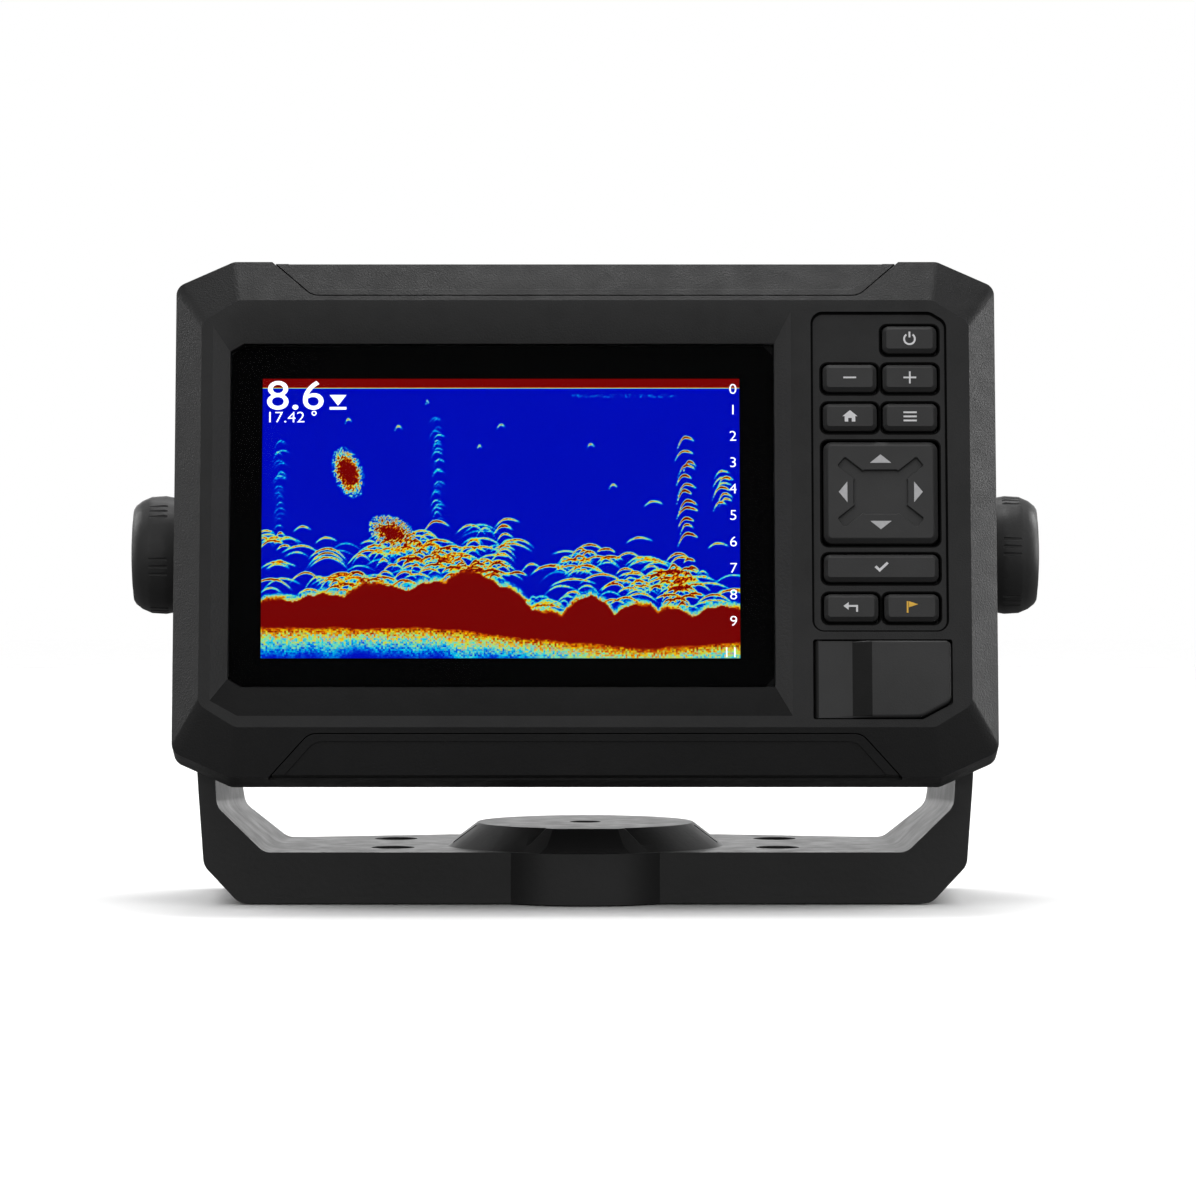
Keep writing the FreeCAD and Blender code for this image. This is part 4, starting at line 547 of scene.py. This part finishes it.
# Everything in the picture is placed by s, from 0 at the left to 1 at the right, and t, from 0 at
# the bottom to 1 at the top. Humps of the sea bed: s, t of the crown, width.
HUMPS = ((0.04, 0.205, 0.07), (0.13, 0.23, 0.08), (0.25, 0.262, 0.08), (0.36, 0.27, 0.07),
         (0.44, 0.303, 0.06), (0.50, 0.255, 0.05), (0.57, 0.165, 0.09), (0.685, 0.22, 0.045),
         (0.785, 0.19, 0.055), (0.86, 0.175, 0.05), (0.965, 0.185, 0.07))
# Schools of fish: s, t, spread along, spread up, number of fish, strength.
SCHOOLS = ((0.29, 0.41, 0.03, 0.03, 34, 0.8), (0.37, 0.37, 0.045, 0.022, 44, 0.85),
           (0.21, 0.28, 0.05, 0.018, 30, 0.8), (0.875, 0.27, 0.018, 0.05, 54, 0.95),
           (0.58, 0.19, 0.03, 0.018, 44, 0.55), (0.80, 0.27, 0.04, 0.022, 14, 0.75),
           (0.45, 0.32, 0.04, 0.022, 34, 0.95), (0.03, 0.43, 0.018, 0.012, 12, 0.8),
           (0.68, 0.36, 0.03, 0.015, 14, 0.8))
# Fish one above another: s, lowest t, highest t, number of fish, width, strength, lean.
STACKS = ((0.887, 0.45, 0.775, 12, 0.021, 1.1, 1.9), (0.964, 0.56, 0.67, 8, 0.019, 0.85, 1.9),
          (0.368, 0.50, 0.87, 22, 0.015, 0.4, 1.8), (0.036, 0.48, 0.78, 18, 0.017, 0.36, 1.6),
          (0.507, 0.40, 0.50, 6, 0.027, 0.72, 1.6))
# Fish on their own: s, t, width.
LONE_FISH = ((0.18, 0.855, 0.008), (0.285, 0.83, 0.009), (0.50, 0.835, 0.01), (0.688, 0.765, 0.009),
             (0.82, 0.56, 0.022), (0.79, 0.43, 0.03), (0.955, 0.41, 0.024), (0.085, 0.47, 0.02),
             (0.135, 0.43, 0.024), (0.455, 0.76, 0.006), (0.735, 0.62, 0.01), (0.345, 0.92, 0.004))
# Bait balls: s, t, half width, half height, slant, raggedness.
BAIT_BALLS = ((0.180, 0.663, 0.021, 0.058, -0.14, 0.9), (0.275, 0.448, 0.030, 0.040, -0.3, 1.5))
SONAR_RAMP = [
    (0.0, (0.0, 0.0, 0.48)), (0.16, (0.0, 0.01, 0.58)), (0.25, (0.0, 0.10, 0.75)),
    (0.37, (0.0, 0.66, 0.80)), (0.50, (0.40, 0.80, 0.10)), (0.58, (0.90, 0.62, 0.0)),
    (0.70, (0.70, 0.08, 0.0)), (0.84, (0.184, 0.001, 0.001))]


def clamped(value):
    """Held between 0 and 1."""
    return np.clip(value, 0, 1)


class Sonar:
    """The strength of the echo at every point of the picture, and its grain: how speckled it is.

    Both go from 0 to 1. The roughness is a random number at each point, and the bed is the height
    of the bottom along the picture.
    """

    def __init__(self, columns, rows):
        self.rng = np.random.default_rng(11)
        self.s, self.t = np.meshgrid(np.linspace(0, 1, columns), np.linspace(0, 1, rows))
        self.rough = self.rng.random((rows, columns))
        self.echo = 0.02 + 0.03 * self.rough
        self.grain = np.zeros((rows, columns))
        humps = [crown - 0.05 * ((self.s - middle) / wide) ** 2 for middle, crown, wide in HUMPS]
        ripple = 0.0035 * np.sin(self.s * 97) * np.sin(self.s * 61 + 1) + 0.002 * np.sin(self.s * 211)
        self.bed = np.max(humps, axis=0) + ripple

    def arch(self, middle, height, wide, drop, strength, lean):
        """One fish: an upturned curve that is strongest at its crown and leans to one side."""
        across = (self.s - middle) / wide
        curve = height - drop * across ** 2 * np.where(across < 0, lean, 1 / lean)
        crown = clamped(1 - across ** 2) ** 0.6
        half_thick = 0.0030 + 0.0015 * crown * strength
        line = 1.14 * strength * crown * np.exp(-((self.t - curve) / half_thick) ** 2)
        np.maximum(self.echo, line * (0.72 + 0.5 * self.rough), out=self.echo)

    def stack(self, middle, low, high, count, wide, strength, lean):
        """Fish one above another, from the top down."""
        draw = self.rng
        for step in range(count):
            height = high + (low - high) * step / (count - 1) + draw.normal(0, 0.006)
            self.arch(middle + draw.normal(0, wide * 0.2), height, wide * draw.uniform(0.7, 1.15),
                      draw.uniform(0.018, 0.034), strength * draw.uniform(0.7, 1.2), lean)

    def school(self, middle, height, wide, tall, count, strength):
        """A crowd of fish, thickest at the middle."""
        draw = self.rng
        for _ in range(count):
            self.arch(middle + draw.normal(0, wide), height + draw.normal(0, tall),
                      draw.uniform(0.012, 0.034), draw.uniform(0.014, 0.04),
                      strength * draw.uniform(0.6, 1.25), draw.uniform(0.9, 1.7))

    def strew(self, count):
        """Single fish along the bottom, most of them close to it."""
        draw = self.rng
        for _ in range(count):
            middle = draw.uniform(0, 1)
            floor = np.interp(middle, self.s[0], self.bed[0])
            self.arch(middle, floor + 0.02 + 0.17 * draw.random() ** 1.2, draw.uniform(0.022, 0.052),
                      draw.uniform(0.018, 0.05), draw.uniform(0.35, 0.9), draw.uniform(0.8, 1.5))

    def bait_ball(self, middle, height, wide, tall, slant, ragged):
        """A solid echo with a speckled rim."""
        across = (self.s - middle - slant * (self.t - height)) / wide
        reach = np.sqrt(across ** 2 + ((self.t - height) / tall) ** 2)
        body = clamped(1.75 - reach * 1.1 + (self.rough - 0.5) * ragged)
        np.maximum(self.echo, np.where(reach < 1.6, body, 0), out=self.echo)

    def add_fish(self):
        """Everything that swims above the bed, faintly speckled."""
        self.strew(150)
        for school in SCHOOLS:
            self.school(*school)
        for stack in STACKS:
            self.stack(*stack)
        for lone in LONE_FISH:
            self.arch(*lone, drop=0.018, strength=0.7, lean=1.3)
        for ball in BAIT_BALLS:
            self.bait_ball(*ball)
        self.grain[self.echo > 0.2] = 0.2

    def add_bottom(self):
        """A ragged crust on the bed, a hard layer below it, and a fading, lumpy echo under that."""
        s, t, bed = self.s, self.t, self.bed
        crust = clamped(1.2 - (t - bed) / 0.028) * (0.5 + 0.4 * clamped(np.sin(s * 31 + 1.2)))
        above = t > bed
        self.echo = np.where(above, np.maximum(self.echo, crust), self.echo)
        in_crust = above & (crust > self.echo * 0.99) & (crust > 0.02)
        self.grain = np.where(in_crust, 1.0, self.grain)
        lumps = sum(np.sin(s * rate + shift) for rate, shift in ((19, 0.4), (43, 1.7), (71, 3.1))) / 3
        slope = 0.072 * clamped((s - 0.35) / 0.42) - 0.022 * clamped((s - 0.82) / 0.18)
        layer = 0.110 - slope + 0.005 * lumps
        depth = clamped((layer - t) / 0.105)
        fading = 0.86 - 0.72 * depth ** 0.7 + 0.14 * lumps * depth
        below = t < bed
        self.echo = np.where(below, np.where(t > layer, 0.97, fading), self.echo)
        self.grain = np.where(below, np.where(t > layer + 0.012, 0.25, 1.0), self.grain)

    def add_surface(self):
        """A solid band at the surface, with a few faint specks below it."""
        band, band_edge = 0.966, 0.005
        in_band = self.t > band
        self.echo = np.where(in_band, 0.55 + 0.45 * clamped((self.t - band) / band_edge), self.echo)
        self.grain = np.where(in_band, 0.2, self.grain)
        by_specks = (np.abs(self.t - 0.94) < 0.006) & (np.abs(self.s - 0.76) < 0.11)
        self.echo = np.where(by_specks & (self.rough > 0.72), 0.3, self.echo)


def picture_spot(s, t, forward):
    """A place on the picture, and millimetres in front of it."""
    return unit_spot(LIT_CENTRE[0] + (s - 0.5) * LIT[0], LIT_OUT + forward,
                     LIT_CENTRE[1] + (t - 0.5) * LIT[1])


def add_picture():
    """The lit panel: a fine grid that carries the echoes and glows in the sonar's colours."""
    columns, rows = GRID
    sonar = Sonar(columns, rows)
    sonar.add_fish()
    sonar.add_bottom()
    sonar.add_surface()
    xs = np.linspace(-LIT[0] / 2, LIT[0] / 2, columns) * MM
    zs = np.linspace(-LIT[1] / 2, LIT[1] / 2, rows) * MM
    corners = [(x, 0.0, z) for z in zs for x in xs]
    starts = [row * columns + column for row in range(rows - 1) for column in range(columns - 1)]
    mesh = bpy.data.meshes.new("sonar_picture")
    mesh.from_pydata(corners, [], [(i, i + 1, i + 1 + columns, i + columns) for i in starts])
    for name, values in (("echo", sonar.echo), ("grain", sonar.grain)):
        attribute = mesh.attributes.new(name, "FLOAT", "POINT")
        attribute.data.foreach_set("value", values.astype(np.float32).ravel())
    picture = bpy.data.objects.new("sonar_picture", mesh)
    bpy.context.scene.collection.objects.link(picture)
    picture.matrix_world = unit_spot(LIT_CENTRE[0], LIT_OUT, LIT_CENTRE[1])
    shader = Shader("sonar_colours", Roughness=0.6, Specular_IOR_Level=0.0,
                    Base_Color=(0.0, 0.0, 0.0, 1.0), Emission_Strength=1.0)
    signal = shader.speckle("echo", "grain", CELL, strength=1.152)
    shader.link(shader.ramp(signal, SONAR_RAMP), shader.main.inputs["Emission Color"])
    paint(picture, shader.material)
    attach(picture, "unit")


def add_number(name, digits, s, t, tall, thicken=0.0, align="LEFT", wide=1.0):
    """Lit digits of a given height that stand on a baseline at (s, t)."""
    digit_share, thickness, forward = 0.69, 0.004, 0.02
    text = bpy.data.curves.new(name, "FONT")
    text.body = digits
    text.align_x = align
    text.size = tall * MM / digit_share
    text.offset = thicken * MM
    text.extrude = thickness * MM
    piece = bpy.data.objects.new(name, text)
    bpy.context.scene.collection.objects.link(piece)
    upright = Matrix.Rotation(math.pi / 2, 4, "X")
    piece.matrix_world = picture_spot(s, t, forward) @ upright @ Matrix.Diagonal((wide, 1, 1, 1))
    text.materials.append(READOUT_WHITE)
    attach(piece, "unit")


def add_readouts():
    """Depth and water readings with their signs, and the depth scale down the right side."""
    forward, thick = 0.015, 0.01
    add_number("depth_reading", "8.6", 0.006, 0.890, tall=6.6, wide=1.16)
    add_number("water_reading", "17.42", 0.006, 0.843, tall=2.5, thicken=-0.03, wide=1.12)
    artwork("water_unit", arc_band(0.45, 0.26, 0, 360), READOUT_WHITE, "unit",
            picture_spot(0.108, 0.876, forward), thick)
    depth_sign = [[(-1.9, 1.6), (1.9, 1.6), (0, -0.9)], stroke((-1.9, -1.5), (1.9, -1.5), 0.6)]
    artwork("depth_unit", depth_sign, READOUT_WHITE, "unit",
            picture_spot(0.158, 0.917, forward), thick)
    scale = {"tall": 2.3, "thicken": -0.03, "align": "RIGHT", "wide": 1.1}
    add_number("scale_0", "0", 0.995, 0.946, **scale)
    for metre in range(1, 10):
        add_number(f"scale_{metre}", str(metre), 0.995, 0.966 - 0.0945 * metre, **scale)
    add_number("scale_11", "11", 0.997, 0.004, **scale)


def rectangle(left, bottom, right, top):
    """Corners of a rectangle in turn, from the bottom left."""
    return [Vector(corner) for corner in ((left, bottom), (right, bottom), (right, top), (left, top))]


def add_print():
    """Black ink behind the lens, with cut corners, open over the lit picture."""
    margin, cut, forward, thick = 0.15, 2.2, 0.03, 0.01
    rim = rectangle(LENS_LOW.x / MM + margin, LENS_LOW.z / MM + margin,
                    LENS_HIGH.x / MM - margin, LENS_HIGH.z / MM - margin)
    (x, z), (half_wide, half_tall) = LIT_CENTRE, (LIT[0] / 2, LIT[1] / 2)
    window = rectangle(x - half_wide, z - half_tall, x + half_wide, z + half_tall)
    cuts = [corner + (beyond - corner).normalized() * cut for i, corner in enumerate(rim)
            for beyond in (rim[i - 1], rim[(i + 1) % 4])]
    outlines = []
    for i in range(4):
        start, end, beyond = cuts[2 * i], cuts[2 * i + 1], cuts[(2 * i + 2) % 8]
        outlines.append([start, end, window[i]])
        outlines.append([end, beyond, window[(i + 1) % 4], window[i]])
    artwork("lens_print", outlines, BORDER_INK, "unit",
            unit_spot(0, LENS_LOW.y / MM + forward, 0), thick)


# ------------------------------------------------------------------ stage, light, camera

def add_floor():
    """A pale disc that fades into the white surroundings, darker in the object's reflections."""
    below_foot = 0.3 * MM
    bpy.ops.mesh.primitive_circle_add(vertices=96, radius=1.6, fill_type="NGON",
                                      location=(0, 0, -below_foot))
    floor = bpy.context.object
    floor.name = "floor"
    shader = Shader("floor_paint", Roughness=0.9, Specular_IOR_Level=0.0)
    tone = shader.node("ShaderNodeMix", data_type="RGBA")
    tone.inputs["A"].default_value = (0.11, 0.11, 0.11, 1)
    tone.inputs["B"].default_value = (0.95, 0.95, 0.95, 1)
    shader.link(shader.node("ShaderNodeLightPath").outputs["Is Camera Ray"], tone.inputs["Factor"])
    shader.link(tone.outputs["Result"], shader.main.inputs["Base Color"])
    distance = shader.node("ShaderNodeVectorMath", operation="LENGTH")
    shader.link(shader.place, distance.inputs[0])
    solid_to, gone_from = 0.5, 1.5
    shader.link(shader.remap(distance.outputs["Value"], solid_to, gone_from, 1.0, 0.0),
                shader.main.inputs["Alpha"])
    paint(floor, shader.material)


def add_world():
    """White to the camera; as a light, a low bright band behind, a soft front and dark sides."""
    everywhere, band_strength = 0.02, 1.95
    world = bpy.data.worlds.new("studio")
    world.use_nodes = True
    sky = Wiring(world.node_tree)

    def step(value, start, end, before, after):
        """Turns gently from one level to another as the value goes from start to end."""
        return sky.remap(value, start, end, before, after, interpolation_type="SMOOTHSTEP")

    direction = sky.node("ShaderNodeSeparateXYZ")
    sky.link(sky.node("ShaderNodeTexCoord").outputs["Generated"], direction.inputs["Vector"])
    x, y, z = (direction.outputs[axis] for axis in "XYZ")
    aside = sky.maths("ABSOLUTE", x, 0.0)
    low_band = sky.product(step(z, -0.10, -0.01, 0.0, 1.0), step(z, 0.10, 0.42, 1.0, 0.12))
    behind = sky.product(low_band, step(y, 0.0, 0.7, 0.0, 1.0), band_strength,
                         step(aside, 0.08, 0.35, 1.0, 0.6))
    front = sky.product(step(y, -0.8, -0.3, 1.0, 0.0),
                        step(aside, 0.28, 0.6, 0.56, 0.82), step(aside, 0.68, 0.92, 1.0, 0.3),
                        step(z, -0.25, 0.0, 0.3, 1.0), step(z, 0.55, 0.85, 1.0, 0.42))
    light = sky.maths("ADD", sky.maths("ADD", behind, front), everywhere)
    mix = sky.node("ShaderNodeMix", data_type="FLOAT")
    sky.link(sky.node("ShaderNodeLightPath").outputs["Is Camera Ray"], mix.inputs["Factor"])
    sky.link(light, mix.inputs["A"])
    mix.inputs["B"].default_value = 1.0
    background = sky.tree.nodes["Background"]
    sky.link(mix.outputs["Result"], background.inputs["Strength"])
    background.inputs["Color"].default_value = (1, 1, 1, 1)
    bpy.context.scene.world = world


def add_aimed(name, data, spot, aim):
    """A light or a camera at a spot, turned to a point."""
    holder = bpy.data.objects.new(name, data)
    holder.location = spot
    holder.rotation_euler = (Vector(aim) - Vector(spot)).to_track_quat("-Z", "Y").to_euler()
    bpy.context.scene.collection.objects.link(holder)
    return holder


def add_light(name, spot, aim, size, power, glossy=True, diffuse=True):
    """A soft box, which may only light surfaces (not glossy) or only be mirrored (not diffuse)."""
    lamp = bpy.data.lights.new(name, "AREA")
    lamp.shape = "RECTANGLE"
    lamp.size, lamp.size_y = size
    lamp.energy = power
    holder = add_aimed(name, lamp, spot, aim)
    holder.visible_glossy = glossy
    holder.visible_diffuse = diffuse


def add_lights():
    """A wide light overhead, small ones behind it, and a soft box on each side."""
    add_light("overhead", (0.0, -0.1, 1.5), (0, 0, 0), size=(3.0, 3.2), power=53.0, glossy=False)
    add_light("top_strip", (0.0, 0.14, 1.45), (0, 0, 0.1), size=(0.4, 0.35), power=3.7)
    for name, side in (("rear_left", -1), ("rear_right", 1)):
        add_light(name, (1.15 * side, 0.7, 0.8), (0, 0, 0), size=(0.5, 0.4), power=6.0, diffuse=False)
    add_light("rear_strip", (0.0, 0.95, 1.2), (0, 0, 0.1), size=(0.8, 0.4), power=3.0)
    add_light("right_softbox", (1.4, 0.35, 0.25), (0, 0, 0.08), size=(0.6, 0.9), power=9.0)
    add_light("left_softbox", (-1.4, 0.35, 0.25), (0, 0, 0.08), size=(0.6, 0.9), power=2.2)


def add_camera():
    """A long lens, level with the top of the unit, aimed a little down."""
    camera = bpy.data.cameras.new("camera")
    camera.lens = 247.2
    camera.sensor_width = 36.0
    camera.clip_end = 50.0
    spot, aim = (0.0, -1.9, 0.1358), (0.00294, 0.0, 0.07034)
    bpy.context.scene.camera = add_aimed("camera", camera, spot, aim)


# ------------------------------------------------------------------ the whole scene

# Nodes whose sharp edges are rounded, and by how many millimetres.
ROUNDED = {
    "bail_bracket": 0.4, "front_bezel": 0.24, "top_trim_cap": 0.14, "bottom_trim_cap": 0.14,
    "cradle_body": 0.6, "rear_housing": 0.6, "direction_pad": 0.25, **{key: 0.22 for key in ICONS},
    "left_knob_grip": 0.25, "right_knob_grip": 0.25, "release_lever": 0.3}

paint_frame()
add_floor()
add_world()
add_lights()
add_camera()
bpy.context.scene.view_settings.view_transform = "Standard"

softened = {node: soften(node, radius * MM) for node, radius in ROUNDED.items()}
paint_bezel(softened["front_bezel"])
paint_cap(softened["top_trim_cap"])
paint_cap(softened["bottom_trim_cap"])
soften_door()
add_dark_joints()
add_legends()
add_picture()
add_readouts()
add_print()
